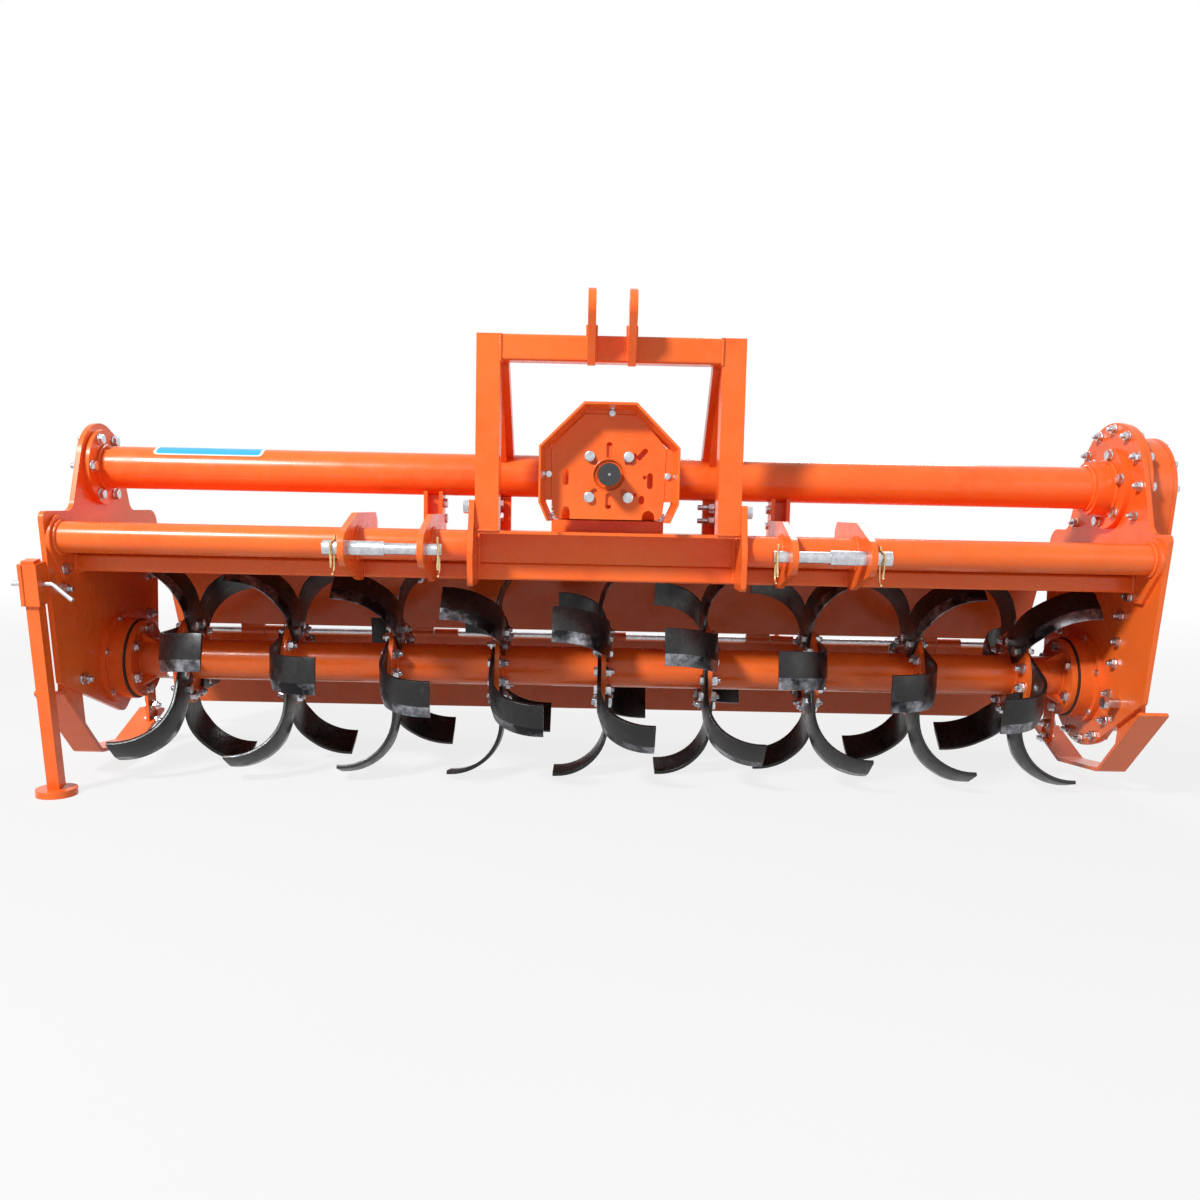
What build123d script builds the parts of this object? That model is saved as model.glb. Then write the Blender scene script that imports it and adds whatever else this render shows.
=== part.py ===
from build123d import *
import os
from math import atan2, cos, degrees, hypot, sqrt, tan

# A tractor-mounted rotary tiller for a three-point hitch.
# Axes: X runs across the machine, -Y is the tractor side, +Y the rear, +Z is up. Millimetres.
# The sizes below are drawn from the middle of the mast, the rotor axis and the floor; the saved
# parts are moved by ORIGIN, so that their origin is on the floor, below the middle of the whole.

# ---------------------------------------------------------------- driving sizes
ORIGIN = (15.25, 12.4)  # middle of the overall box, seen from above
CONTACT = 0.3  # seating gap between curved faces that would only touch
RUN_FIT = 0.05  # radial clearance of a shaft or pin that turns in its bore

TINE_TIP_R = 245.0  # reach of the tines from the rotor axis
ROTOR_Z = TINE_TIP_R  # the tines stand on the floor
PLATE_INNER_X = 1080.0  # inner faces of the two side plates
PLATE_T = 10.0

TUBE_Y = -70.0  # axle tube across the top
TUBE_RISE = 420.0  # axle tube above the rotor axis
TUBE_Z = ROTOR_Z + TUBE_RISE
TUBE_R = 44.45
TUBE_WALL = 6.0
TUBE_FLANGE_R = 76.0  # flange bolted to the gearbox
TUBE_FLANGE_T = 14.0
TUBE_END_T = 12.0  # flanges bolted to the side plates
TUBE_END_R_LEFT = 80.0
TUBE_END_R_RIGHT = 86.0
COLLAR_R = 57.0  # sleeve on the right end, over the drive shaft's bearing
COLLAR_L = 40.0

FRONT_TUBE_Y = -262.0
FRONT_TUBE_RISE = 277.0
FRONT_TUBE_Z = ROTOR_Z + FRONT_TUBE_RISE
FRONT_TUBE_R = 31.0
FRONT_TUBE_WALL = 4.0
BAR_SIZE = 35.0  # square bar behind the front tube
BAR_WALL = 4.0
BAR_CORNER_R = 6.0
BAR_FRONT_Y = -212.0
BAR_HIGH_Z = ROTOR_Z + 242.0
BAR_LOW_Z = BAR_HIGH_Z - BAR_SIZE
DOUBLER_T = 8.0  # stiffener inside each side plate
DOUBLER_R = 44.0  # its round head about the front tube

DECK_RISE = 295.0
DECK_Z = ROTOR_Z + DECK_RISE  # top of the flat deck
SHEET_T = 5.0
DECK_REAR_Y = 118.0
SLOPE_Y = 255.0  # lower bend of the hood
SLOPE_RISE = 187.0

# ---------------------------------------------------------------- rotor
FLANGE_COUNT = 9
FLANGE_PITCH = 230.0
FLANGE_R = 98.0
FLANGE_T = 10.0
ROTOR_TUBE_R = 44.45
END_FLANGE_R = 85.0
END_FLANGE_T = 12.0
JOURNAL_R = 30.0  # stub shafts that turn in the bearing housings
SEAL_T = 4.0
SEAL_R = 88.0
SEAL_GAP = 0.5
HOUSING_FLANGE_R = 100.0
HOUSING_FLANGE_T = 12.0
HOUSING_R = 90.0
HOUSING_DEPTH = 44.0  # from the side plate to the seal

TINES_PER_FLANGE = 6
TINE_T = 8.0
TINE_W = 78.0
TINE_REACH = 121.0  # sideways reach from the outer face of the tine's root
TINE_FLAT = 7.0  # straight end of a tine beyond its bend
FIRST_TINE_ANGLE = 12.0  # first tip above the forward horizontal
HELIX_STEP = -10.5  # turn from one flange to the next

# ---------------------------------------------------------------- side plates
SHOULDER_Z = ROTOR_Z + 328.0
PLATE_FRONT_TOP = (-314.0, SHOULDER_Z)
PLATE_FRONT_LOW = (-260.0, ROTOR_Z - 14.0)
PLATE_REAR_TOP = (208.0, SHOULDER_Z)
PLATE_REAR_LOW = (204.0, ROTOR_Z + 14.0)
PLATE_POINT = (16.0, ROTOR_Z - 126.0)  # lowest rounded corner
HEAD_R_LEFT = 92.0
HEAD_R_RIGHT = 140.0
NECK_FRONT_Y = -196.0
NECK_REAR_Y = 66.0
NECK_FILLET = 28.0

GEAR_CASE_LOW_R = 152.0
CASE_FLANGE_T = 10.0
CASE_FLANGE_W = 32.0  # width of the bolted flange round the case
CASE_DEPTH = 57.0
CASE_WALL = 7.0
COVER_T = 8.0
BOSS_H = 8.0
BOSS_HIGH_R = 58.0
BOSS_LOW_R = 72.0

# ---------------------------------------------------------------- hitch
PIN_Y = -353.0
PIN_Z = ROTOR_Z + 272.0
PIN_THICK_R = 14.0
PIN_THIN_R = 11.0
PIN_THIN_OUT = 36.0  # how far the pin stands out of the inner lug
PIN_HEAD_OUT = 34.0  # and out of the outer lug
PIN_STEP_IN = 76.0  # from the outer lug to the change of diameter
LUG_INNER_X = 348.0
LUG_OUTER_X = 495.0
LUG_T = 12.0
LUG_NOSE_R = 36.0
LUG_Z_LOW = BAR_LOW_Z - 4.0
LUG_Z_HIGH = ROTOR_Z + 337.0
LUG_SHOULDER_Y = -268.0  # where the top edge starts to fall to the nose
LUG_REAR_Y = TUBE_Y - 12.0
LUG_CHAMFER = 18.0
LUG_UNDERCUT = 26.0

POST_X = 236.0
POST_SIZE = 46.0
POST_WALL = 4.0
CROSSBAR_Z = ROTOR_Z + 635.0  # underside of the mast's top bar
CROSSBAR_H = 50.0
TOP_PIN_Z = PIN_Z + 460.0
TOP_PIN_REACH = 44.0  # in front of the crossbar
TOP_PIN_R = 12.9
TOP_LUG_X = 38.5
TOP_LUG_T = 15.0
TOP_LUG_R = 32.0
BRACE_T = 32.0
BRACE_HEAD = 44.0
SUPPORT_T = 12.0
SUPPORTS = (  # x, width
    (POST_X, 62.0),
    (LUG_INNER_X + 19.0, 40.0),
)
EAR_T = 11.0
EAR_Z_HIGH = LUG_Z_HIGH + 30.0
EAR_Z_LOW = BAR_LOW_Z - 7.0
CHANNEL_T = 6.0  # folded channel between the mast ears

# ---------------------------------------------------------------- drive
GEARBOX_W = 190.0
GEARBOX_FRONT_Y = -215.0
GEARBOX_REAR_Y = 45.0
GEARBOX_FOOT_H = 36.0
GEARBOX_FOOT_OUT = 18.0
GEARBOX_LOW_Z = DECK_Z + GEARBOX_FOOT_H
GEARBOX_HIGH_Z = TUBE_Z + 92.0
GEARBOX_CORNER_R = 30.0
CAP_R = 58.0
GUARD_PLATE_Y = -272.0
GUARD_PLATE_T = 6.0
GUARD_RIM_FRONT_Y = -326.0
GUARD_RIM_REAR_Y = -262.0
GUARD_HALF_W = 134.0
GUARD_TOP_Z = TUBE_Z + 136.0
GUARD_LOW_Z = TUBE_Z - 88.0
GUARD_FOOT = (16.0, 34.0)  # cut corners at the guard's feet, in and up
GUARD_SHOULDER = 84.0  # height of the upper cut corners
GUARD_TOP_HALF_W = 50.0
GUARD_INSET = 24.0  # plate inside the rim
GUARD_TOP_TAB = 88.0
GUARD_SIDE_TAB = 96.0
GUARD_SLOTS = (  # x, z from the shaft, width, height, lean
    (0.0, 46.0, 8.0, 28.0, 0.0),
    (0.0, -50.0, 8.0, 28.0, 0.0),
    (-83.0, -4.0, 8.0, 24.0, 0.0),
    (83.0, -4.0, 8.0, 24.0, 0.0),
    (64.0, -49.0, 9.0, 14.0, 0.0),
    (51.0, -39.0, 6.0, 6.5, 0.0),
    (-34.0, 31.0, 11.0, 27.0, 45.0),
    (42.0, 31.0, 11.0, 27.0, -45.0),
    (-34.0, -38.0, 11.0, 27.0, -45.0),
    (34.0, -38.0, 11.0, 27.0, 45.0),
    (-81.0, -76.0, 16.0, 60.0, 0.0),
    (81.0, -76.0, 16.0, 60.0, 0.0),
)
GUARD_BORE_GAP = 8.0
SHAFT_R = 17.4
SHAFT_TIP_Y = -322.0
SHAFT_SEAT = 50.0  # length held inside the gearbox
SPLINE_COUNT = 6
SPLINE_W = 8.0
SPLINE_L = 38.1
SPLINE_DEPTH = 2.5
SHAFT_CAP_R = 21.5
SHAFT_CAP_T = 6.0
SHAFT_CAP_L = 38.0

# ---------------------------------------------------------------- rear board
HINGE_Y = 338.0
HINGE_Z = ROTOR_Z + 27.0
HINGE_ROD_R = 6.0
KNUCKLE_R = 11.0
KNUCKLE_COUNT = 5
KNUCKLE_PITCH = 430.0
KNUCKLE_L = 60.0
BOARD_HALF_W = 1068.0
ROD_X = 455.0
ROD_R = 7.0
ROD_FOOT = (HINGE_Y + 62.0, HINGE_Z - 87.0)
ROD_EYE = (HINGE_Y - 3.0, HINGE_Z + 158.0)
ROD_EYE_W = 16.0
ROD_PIN_R = 6.0
SPRING_R = 16.0
SPRING_START = 128.0  # along the rod from its foot pin
SPRING_L = 70.0
ROD_EYE_R = 13.0
ROD_NUT_R = 12.0
ROD_NUT_T = 12.0
ROD_LUG_T = 6.0
LUG_GAP = 1.0
BRACKET_T = 8.0
BRACKET_W = 60.0

# ---------------------------------------------------------------- skids and stand
SKID_W = 60.0
SKID_T = 8.0
SKID_LINE = (
    (-252.0, ROTOR_Z - 38.0), (-97.0, ROTOR_Z - 193.0),
    (95.0, ROTOR_Z - 217.0), (232.0, ROTOR_Z - 167.0),
)
SKID_BEND_R = 20.0
LINK_T = 8.0
LINK_FRONT = (
    (-240.0, ROTOR_Z - 4.0), (-164.0, ROTOR_Z - 4.0), (-140.0, ROTOR_Z - 145.0),
    (-160.0, ROTOR_Z - 155.0), (-238.0, ROTOR_Z - 75.0),
)
LINK_REAR = (
    (146.0, ROTOR_Z + 12.0), (188.0, ROTOR_Z + 12.0),
    (214.0, ROTOR_Z - 185.0), (170.0, ROTOR_Z - 205.0),
)
LOCK_PIN_R = 5.0
LEG_SIZE = 25.0
LEG_WALL = 3.0
SOCKET_WALL = 5.0
LEG_CLEARANCE = 0.5
FOOT_R = 39.0
FOOT_T = 14.0
SOCKET_Z_LOW = ROTOR_Z + 147.0
SOCKET_Z_HIGH = ROTOR_Z + 229.0
STRAP_T = 6.0  # plate that joins the socket to the side plate
STRAP_L = 44.0
LEG_PROUD = 6.0  # leg above its socket
HANDLE_REACH = 24.0
HANDLE_BEND_R = 14.0
HANDLE_TIP = (40.0, -4.0, -30.0)

PLATE_OUTER_X = PLATE_INNER_X + PLATE_T
DOUBLER_X = PLATE_INNER_X - DOUBLER_T
EAR_INNER_X = POST_X + POST_SIZE / 2
EAR_OUTER_X = EAR_INNER_X + EAR_T
REEL_HALF = FLANGE_PITCH * (FLANGE_COUNT - 1) / 2


# ---------------------------------------------------------------- shape helpers
def block(x0, x1, y0, y1, z0, z1):
    """Axis-aligned box between two corners."""
    centre = ((x0 + x1) / 2, (y0 + y1) / 2, (z0 + z1) / 2)
    return Pos(*centre) * Box(abs(x1 - x0), abs(y1 - y0), abs(z1 - z0))


def disc_x(x0, x1, y, z, r):
    """Round bar along X."""
    return Pos((x0 + x1) / 2, y, z) * Rot(0, 90, 0) * Cylinder(r, abs(x1 - x0))


def disc_y(y0, y1, x, z, r):
    """Round bar along Y."""
    return Pos(x, (y0 + y1) / 2, z) * Rot(90, 0, 0) * Cylinder(r, abs(y1 - y0))


def slab_x(face, x0, x1):
    """Plate along X from an outline drawn in (y, z)."""
    return extrude(Plane.YZ.offset(x0) * face, x1 - x0)


def slab_y(face, y0, y1):
    """Plate along Y from an outline drawn in (x, z)."""
    return extrude(Plane.XZ.offset(-y1) * face, y1 - y0)


def outline(points, radii):
    """Closed outline of straight runs with rounded corners."""
    return make_face(FilletPolyline(*points, radius=radii, close=True))


def bent_strip(points, thickness, bend_r):
    """Outline of a bent sheet that lies on the left of the given line."""
    offset_points = []
    last = len(points) - 1
    for i, (a, b) in enumerate(points):
        turns = []
        for j in (i - 1, i):
            if 0 <= j < last:
                du = points[j + 1][0] - points[j][0]
                dv = points[j + 1][1] - points[j][1]
                turns.append((-dv / hypot(du, dv), du / hypot(du, dv)))
        nu = sum(t[0] for t in turns) / len(turns)
        nv = sum(t[1] for t in turns) / len(turns)
        scale = thickness / (nu * nu + nv * nv)
        offset_points.append((a + nu * scale, b + nv * scale))
    inner = [0] + [bend_r] * (last - 1) + [0]
    return outline(points + offset_points[::-1], inner + inner)


def mirrored(shape):
    """The same piece on the other side of the machine."""
    return mirror(shape, Plane.YZ)


def save(name, *pieces):
    """Write one sub-part, in one or more separate solids."""
    solids = []
    for piece in pieces:
        solids += list(piece.solids())
    placed = Pos(-ORIGIN[0], -ORIGIN[1], 0) * Compound(children=solids)
    export_step(placed, f"parts/{name}.step")


def rotor_bore(r, x0, x1):
    return disc_x(x0, x1, 0, ROTOR_Z, r)


# ---------------------------------------------------------------- side plates
def plate_edge_y(z):
    """Front edge of a side plate at a height; it leans back towards the floor."""
    y0, z0 = PLATE_FRONT_LOW
    y1, z1 = PLATE_FRONT_TOP
    return y0 + (y1 - y0) * (z - z0) / (z1 - z0)


def side_plate(head_r, foot_r=None):
    """Plate with a necked round head about the axle tube, and a round foot where one is given."""
    body = outline(
        [PLATE_FRONT_TOP, PLATE_REAR_TOP, PLATE_REAR_LOW, PLATE_POINT, PLATE_FRONT_LOW],
        [14, 40, 12, 30, 8],
    )
    if foot_r:
        body = make_hull(body.edges() + (Pos(0, ROTOR_Z) * Circle(foot_r)).edges())
    grow = head_r - HEAD_R_LEFT
    foot = Polyline(
        (NECK_FRONT_Y - grow, SHOULDER_Z - 20),
        (NECK_REAR_Y + grow, SHOULDER_Z - 20),
        (NECK_REAR_Y + grow, SHOULDER_Z),
        (NECK_FRONT_Y - grow, SHOULDER_Z),
        close=True,
    )
    head = Pos(TUBE_Y, TUBE_Z) * Circle(head_r)
    neck = make_hull(foot.edges() + head.edges())
    face = body + neck
    corners = [v for v in face.vertices() if abs(v.Y - SHOULDER_Z) < 0.01]
    corners = [
        v for v in corners if PLATE_FRONT_TOP[0] + 40 < v.X < PLATE_REAR_TOP[0] - 45
    ]
    return fillet(corners, NECK_FILLET) if corners else face


def make_side_plates():
    left = slab_x(side_plate(HEAD_R_LEFT), -PLATE_OUTER_X, -PLATE_INNER_X)
    save("side_plate_left", left)
    right = side_plate(HEAD_R_RIGHT, GEAR_CASE_LOW_R)
    save("side_plate_right", slab_x(right, PLATE_INNER_X, PLATE_OUTER_X))


def make_doublers():
    """Stiffeners on the inner faces of the side plates, about the ends of the tube and the bar."""
    head = Pos(FRONT_TUBE_Y, FRONT_TUBE_Z) * Circle(DOUBLER_R)
    low_z = BAR_LOW_Z - 20
    front_y = BAR_FRONT_Y - 30
    rear_y = BAR_FRONT_Y + BAR_SIZE + 10
    foot = Polyline(
        (front_y, low_z), (rear_y, low_z), (rear_y, BAR_HIGH_Z + 10), (front_y, BAR_HIGH_Z + 10),
        close=True,
    )
    face = make_hull(head.edges() + foot.edges())
    plate = slab_x(face, DOUBLER_X, PLATE_INNER_X) - hood_sheet(CONTACT)
    plate = plate.solids().sort_by(Axis.Z)[0]
    save("tube_doublers", plate, mirrored(plate))


def gear_case_face(inset):
    """Outline of the side gear case: two rounds and their tangents."""
    high = Pos(TUBE_Y, TUBE_Z) * Circle(HEAD_R_RIGHT - inset)
    low = Pos(0, ROTOR_Z) * Circle(GEAR_CASE_LOW_R - inset)
    return make_hull(high.edges() + low.edges())


def make_gear_case():
    """Case with a bolted flange; its chamber is closed by a flat cover with two bosses."""
    flange_x = PLATE_OUTER_X + CASE_FLANGE_T
    cover_x = flange_x + CASE_DEPTH
    case = slab_x(gear_case_face(2), PLATE_OUTER_X, flange_x)
    case += slab_x(gear_case_face(CASE_FLANGE_W), flange_x, cover_x)
    case -= slab_x(gear_case_face(CASE_FLANGE_W + CASE_WALL), flange_x, cover_x)
    save("gear_case", case)
    top_x = cover_x + COVER_T
    cover = slab_x(gear_case_face(CASE_FLANGE_W - 1), cover_x, top_x)
    cover += disc_x(top_x, top_x + BOSS_H, TUBE_Y, TUBE_Z, BOSS_HIGH_R)
    cover += disc_x(top_x, top_x + BOSS_H, 0, ROTOR_Z, BOSS_LOW_R)
    save("gear_case_cover", cover)


# ---------------------------------------------------------------- frame across the front
def make_front_frame():
    """Round tube on each side of the mast, a square bar behind it and a channel in the middle."""
    tube = disc_x(EAR_OUTER_X, DOUBLER_X, FRONT_TUBE_Y, FRONT_TUBE_Z, FRONT_TUBE_R)
    bore_r = FRONT_TUBE_R - FRONT_TUBE_WALL
    tube -= disc_x(EAR_OUTER_X, DOUBLER_X, FRONT_TUBE_Y, FRONT_TUBE_Z, bore_r)
    save("front_tube", tube, mirrored(tube))

    centre = Pos(BAR_FRONT_Y + BAR_SIZE / 2, BAR_HIGH_Z - BAR_SIZE / 2)
    bar = centre * RectangleRounded(BAR_SIZE, BAR_SIZE, BAR_CORNER_R)
    bar -= centre * Rectangle(BAR_SIZE - 2 * BAR_WALL, BAR_SIZE - 2 * BAR_WALL)
    save("front_bar", slab_x(bar, -DOUBLER_X, DOUBLER_X))

    top_z = FRONT_TUBE_Z + FRONT_TUBE_R
    web_y = BAR_FRONT_Y + CHANNEL_T
    x = EAR_INNER_X
    web = block(-x, x, BAR_FRONT_Y, web_y, BAR_HIGH_Z, top_z)
    web += block(-x, x, FRONT_TUBE_Y - POST_SIZE / 2, web_y, top_z - CHANNEL_T, top_z)
    save("centre_channel", web)


def hood_line():
    """Inside line of the hood, from the front tube over the rotor to its rear edge."""
    return [
        (FRONT_TUBE_Y + FRONT_TUBE_R - 5, DECK_Z - SHEET_T),
        (DECK_REAR_Y, DECK_Z - SHEET_T),
        (SLOPE_Y, ROTOR_Z + SLOPE_RISE),
        (HINGE_Y - 12.5, HINGE_Z + 14.5),
    ]


def front_tube_cut(grow):
    return disc_x(
        -PLATE_INNER_X, PLATE_INNER_X, FRONT_TUBE_Y, FRONT_TUBE_Z, FRONT_TUBE_R + grow
    )


def hood_sheet(grow):
    """Room that the hood's deck takes, with a gap below and in front of it."""
    front_y = hood_line()[0][0] - grow
    return block(-PLATE_INNER_X, PLATE_INNER_X, front_y, DECK_REAR_Y, DECK_Z - SHEET_T - grow, DECK_Z)


def make_hood():
    sheet = slab_x(
        bent_strip(hood_line(), SHEET_T, 12), -PLATE_INNER_X, PLATE_INNER_X
    )
    sheet -= front_tube_cut(CONTACT)
    web_y = BAR_FRONT_Y + CHANNEL_T
    sheet -= block(-EAR_OUTER_X, EAR_OUTER_X, FRONT_TUBE_Y, web_y, DECK_Z - 20, DECK_Z + 20)
    save("hood", sheet)


# ---------------------------------------------------------------- axle tube and gearbox
def make_axle_tubes():
    """The two halves of the axle tube, each from the gearbox to its side plate."""
    gear_x = GEARBOX_W / 2
    end_x = PLATE_INNER_X - TUBE_END_T
    bore = disc_x(gear_x, PLATE_INNER_X, TUBE_Y, TUBE_Z, TUBE_R - TUBE_WALL)
    tube = disc_x(gear_x, PLATE_INNER_X, TUBE_Y, TUBE_Z, TUBE_R)
    tube += disc_x(gear_x, gear_x + TUBE_FLANGE_T, TUBE_Y, TUBE_Z, TUBE_FLANGE_R)
    left = tube + disc_x(end_x, PLATE_INNER_X, TUBE_Y, TUBE_Z, TUBE_END_R_LEFT)
    save("axle_tube_left", mirrored(left - bore))
    collar = disc_x(end_x - COLLAR_L, end_x, TUBE_Y, TUBE_Z, COLLAR_R)
    flange = disc_x(end_x, PLATE_INNER_X, TUBE_Y, TUBE_Z, TUBE_END_R_RIGHT)
    save("axle_tube_right", tube + collar + flange - bore)


def make_gearbox():
    half = GEARBOX_W / 2
    low, high = GEARBOX_LOW_Z, GEARBOX_HIGH_Z
    body = block(-half, half, GEARBOX_FRONT_Y, GEARBOX_REAR_Y, low, high)
    body = fillet(body.edges().filter_by(Axis.X), GEARBOX_CORNER_R)
    cap = disc_y(GUARD_PLATE_Y, GEARBOX_FRONT_Y, 0, TUBE_Z, CAP_R)
    seat_y = GEARBOX_FRONT_Y + SHAFT_SEAT + 10
    bore = disc_y(GUARD_PLATE_Y, seat_y, 0, TUBE_Z, SHAFT_R + RUN_FIT)
    save("gearbox", body + cap - bore)
    x = half + GEARBOX_FOOT_OUT
    foot = block(-x, x, GEARBOX_FRONT_Y + 12, GEARBOX_REAR_Y - 12, DECK_Z, low)
    save("gearbox_foot", foot)


# ---------------------------------------------------------------- drive shaft guard
def guard_line(inset):
    """Octagon that is open at the bottom, from its left foot to its right foot."""
    w = GUARD_HALF_W - inset
    top = GUARD_TOP_Z - inset
    shoulder = top - GUARD_SHOULDER + inset * 0.4
    top_w = GUARD_TOP_HALF_W - inset * 0.4
    foot_x, foot_z = GUARD_FOOT
    right = [
        (top_w, top),
        (w, shoulder),
        (w, GUARD_LOW_Z + foot_z),
        (w - foot_x, GUARD_LOW_Z),
    ]
    return [(-x, z) for x, z in right[::-1]] + right


def make_guard():
    """Rim round the drive shaft, and the plate that carries it on the gearbox."""
    rim = bent_strip(guard_line(SHEET_T), SHEET_T, 6)
    save("guard_rim", slab_y(rim, GUARD_RIM_FRONT_Y, GUARD_RIM_REAR_Y))

    plate = make_face(Polyline(*guard_line(GUARD_INSET), close=True))
    tab_z = GUARD_TOP_Z - SHEET_T
    plate += Pos(0, (tab_z + TUBE_Z) / 2) * Rectangle(GUARD_TOP_TAB, tab_z - TUBE_Z)
    plate += Pos(0, TUBE_Z) * Rectangle(2 * (GUARD_HALF_W - SHEET_T), GUARD_SIDE_TAB)
    for x, z, w, h, lean in GUARD_SLOTS:
        plate -= Pos(x, TUBE_Z + z) * Rot(0, 0, lean) * RectangleRounded(w, h, w / 2 - 0.1)
    plate -= Pos(0, TUBE_Z) * Circle(SHAFT_R + GUARD_BORE_GAP)
    save("guard_plate", slab_y(plate, GUARD_PLATE_Y - GUARD_PLATE_T, GUARD_PLATE_Y))


def make_input_shaft():
    """Splined input shaft and the cap that keeps it clean."""
    seat_y = GEARBOX_FRONT_Y + SHAFT_SEAT
    shaft = disc_y(SHAFT_TIP_Y, seat_y, 0, TUBE_Z, SHAFT_R)
    for i in range(SPLINE_COUNT):
        turn = Rot(0, 360 / SPLINE_COUNT * i, 0)
        groove = Pos(0, SHAFT_TIP_Y + SPLINE_L / 2, TUBE_Z) * turn * Pos(0, 0, SHAFT_R)
        shaft -= groove * Box(SPLINE_W, SPLINE_L, 2 * SPLINE_DEPTH)
    save("input_shaft", shaft)
    front_y = SHAFT_TIP_Y - SHAFT_CAP_T
    cap = disc_y(front_y, front_y + SHAFT_CAP_L, 0, TUBE_Z, SHAFT_CAP_R)
    cap -= disc_y(SHAFT_TIP_Y, front_y + SHAFT_CAP_L, 0, TUBE_Z, SHAFT_R + RUN_FIT)
    save("shaft_cap", cap)


# ---------------------------------------------------------------- mast
def square_tube(x, size, z0, z1):
    """Upright square bar on the front tube's plane."""
    half = size / 2
    return block(x - half, x + half, FRONT_TUBE_Y - half, FRONT_TUBE_Y + half, z0, z1)


def make_mast():
    """Two hollow posts, the bar across their tops and the two lugs of the top link."""
    post_z0 = FRONT_TUBE_Z + FRONT_TUBE_R
    post_z1 = CROSSBAR_Z + CROSSBAR_H
    inside = POST_SIZE - 2 * POST_WALL
    for name, x in (("left", -POST_X), ("right", POST_X)):
        post = square_tube(x, POST_SIZE, post_z0, post_z1)
        post -= square_tube(x, inside, post_z0 - 1, post_z1 - POST_WALL)
        save(f"mast_post_{name}", post)
    centre = Pos(FRONT_TUBE_Y, CROSSBAR_Z + CROSSBAR_H / 2)
    bar = centre * RectangleRounded(POST_SIZE, CROSSBAR_H, 6)
    bar -= centre * Rectangle(inside, CROSSBAR_H - 2 * POST_WALL)
    save("mast_crossbar", slab_x(bar, -EAR_INNER_X + POST_SIZE, EAR_INNER_X - POST_SIZE))

    front_y = FRONT_TUBE_Y - POST_SIZE / 2
    eye = Pos(front_y - TOP_PIN_REACH, TOP_PIN_Z)
    foot = Polyline(
        (front_y - 14, CROSSBAR_Z - 8), (front_y, CROSSBAR_Z - 8),
        (front_y, post_z1 + 30), (front_y - 14, post_z1 + 30),
        close=True,
    )
    lug = make_hull((eye * Circle(TOP_LUG_R)).edges() + foot.edges())
    lug -= eye * Circle(TOP_PIN_R)
    half = TOP_LUG_T / 2
    lug_right = slab_x(lug, TOP_LUG_X - half, TOP_LUG_X + half)
    save("top_link_lugs", lug_right, mirrored(lug_right))


def make_mast_ears():
    """Plates that tie each mast post, the front tube, the channel and the bar together."""
    y0 = FRONT_TUBE_Y
    face = outline(
        [
            (y0 - 24, EAR_Z_HIGH),
            (y0 + 20, EAR_Z_HIGH),
            (y0 + 24, DECK_Z + 20),
            (BAR_FRONT_Y, DECK_Z - 10),
            (BAR_FRONT_Y, EAR_Z_LOW),
            (y0 - 44, EAR_Z_LOW),
            (y0 - 52, FRONT_TUBE_Z - 10),
        ],
        [8, 8, 4, 8, 6, 10, 20],
    )
    plate = slab_x(face, EAR_INNER_X, EAR_OUTER_X)
    save("mast_ear_right", plate)
    save("mast_ear_left", mirrored(plate))


def make_braces():
    """Flat bars from the top of the mast back to the axle tube."""
    post_rear = FRONT_TUBE_Y + POST_SIZE / 2
    top_z = CROSSBAR_Z + 34
    foot = BRACE_T / 2
    face = make_face(
        Polyline(
            (post_rear, top_z),
            (post_rear, top_z - BRACE_HEAD),
            (TUBE_Y - foot, TUBE_Z),
            (TUBE_Y + foot, TUBE_Z + 10),
            close=True,
        )
    )
    brace = slab_x(face, EAR_INNER_X - POST_SIZE, EAR_INNER_X) - tube_cut(CONTACT)
    save("mast_brace_right", brace)
    save("mast_brace_left", mirrored(brace))


def tube_cut(grow):
    return disc_x(-PLATE_INNER_X, PLATE_INNER_X, TUBE_Y, TUBE_Z, TUBE_R + grow)


def make_tube_supports():
    """Upright plates that carry the axle tube on the deck."""
    pieces = []
    half = SUPPORT_T / 2
    for x, width in SUPPORTS:
        plate = block(x - width / 2, x + width / 2, TUBE_Y - half, TUBE_Y + half, DECK_Z, TUBE_Z)
        plate -= tube_cut(CONTACT)
        pieces += [plate, mirrored(plate)]
    save("tube_supports", *pieces)


# ---------------------------------------------------------------- lower hitch
def hitch_lug(x, bore_r):
    """Plate with a round nose at the pin; it laps over the front tube and stands on the deck."""
    nose = Pos(PIN_Y, PIN_Z) * Circle(LUG_NOSE_R)
    back = Polyline(
        (LUG_SHOULDER_Y, LUG_Z_HIGH), (BAR_FRONT_Y, LUG_Z_HIGH),
        (BAR_FRONT_Y, LUG_Z_LOW), (BAR_FRONT_Y - LUG_UNDERCUT, LUG_Z_LOW),
        close=True,
    )
    face = make_hull(nose.edges() + back.edges())
    face += make_face(
        Polyline(
            (LUG_SHOULDER_Y, LUG_Z_HIGH), (LUG_REAR_Y - LUG_CHAMFER, LUG_Z_HIGH),
            (LUG_REAR_Y, LUG_Z_HIGH - LUG_CHAMFER), (LUG_REAR_Y, DECK_Z),
            (LUG_SHOULDER_Y, DECK_Z),
            close=True,
        )
    )
    face -= Pos(PIN_Y, PIN_Z) * Circle(bore_r)
    lug = slab_x(face, x - LUG_T / 2, x + LUG_T / 2)
    return lug - front_tube_cut(CONTACT) - hood_sheet(CONTACT)


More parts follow.
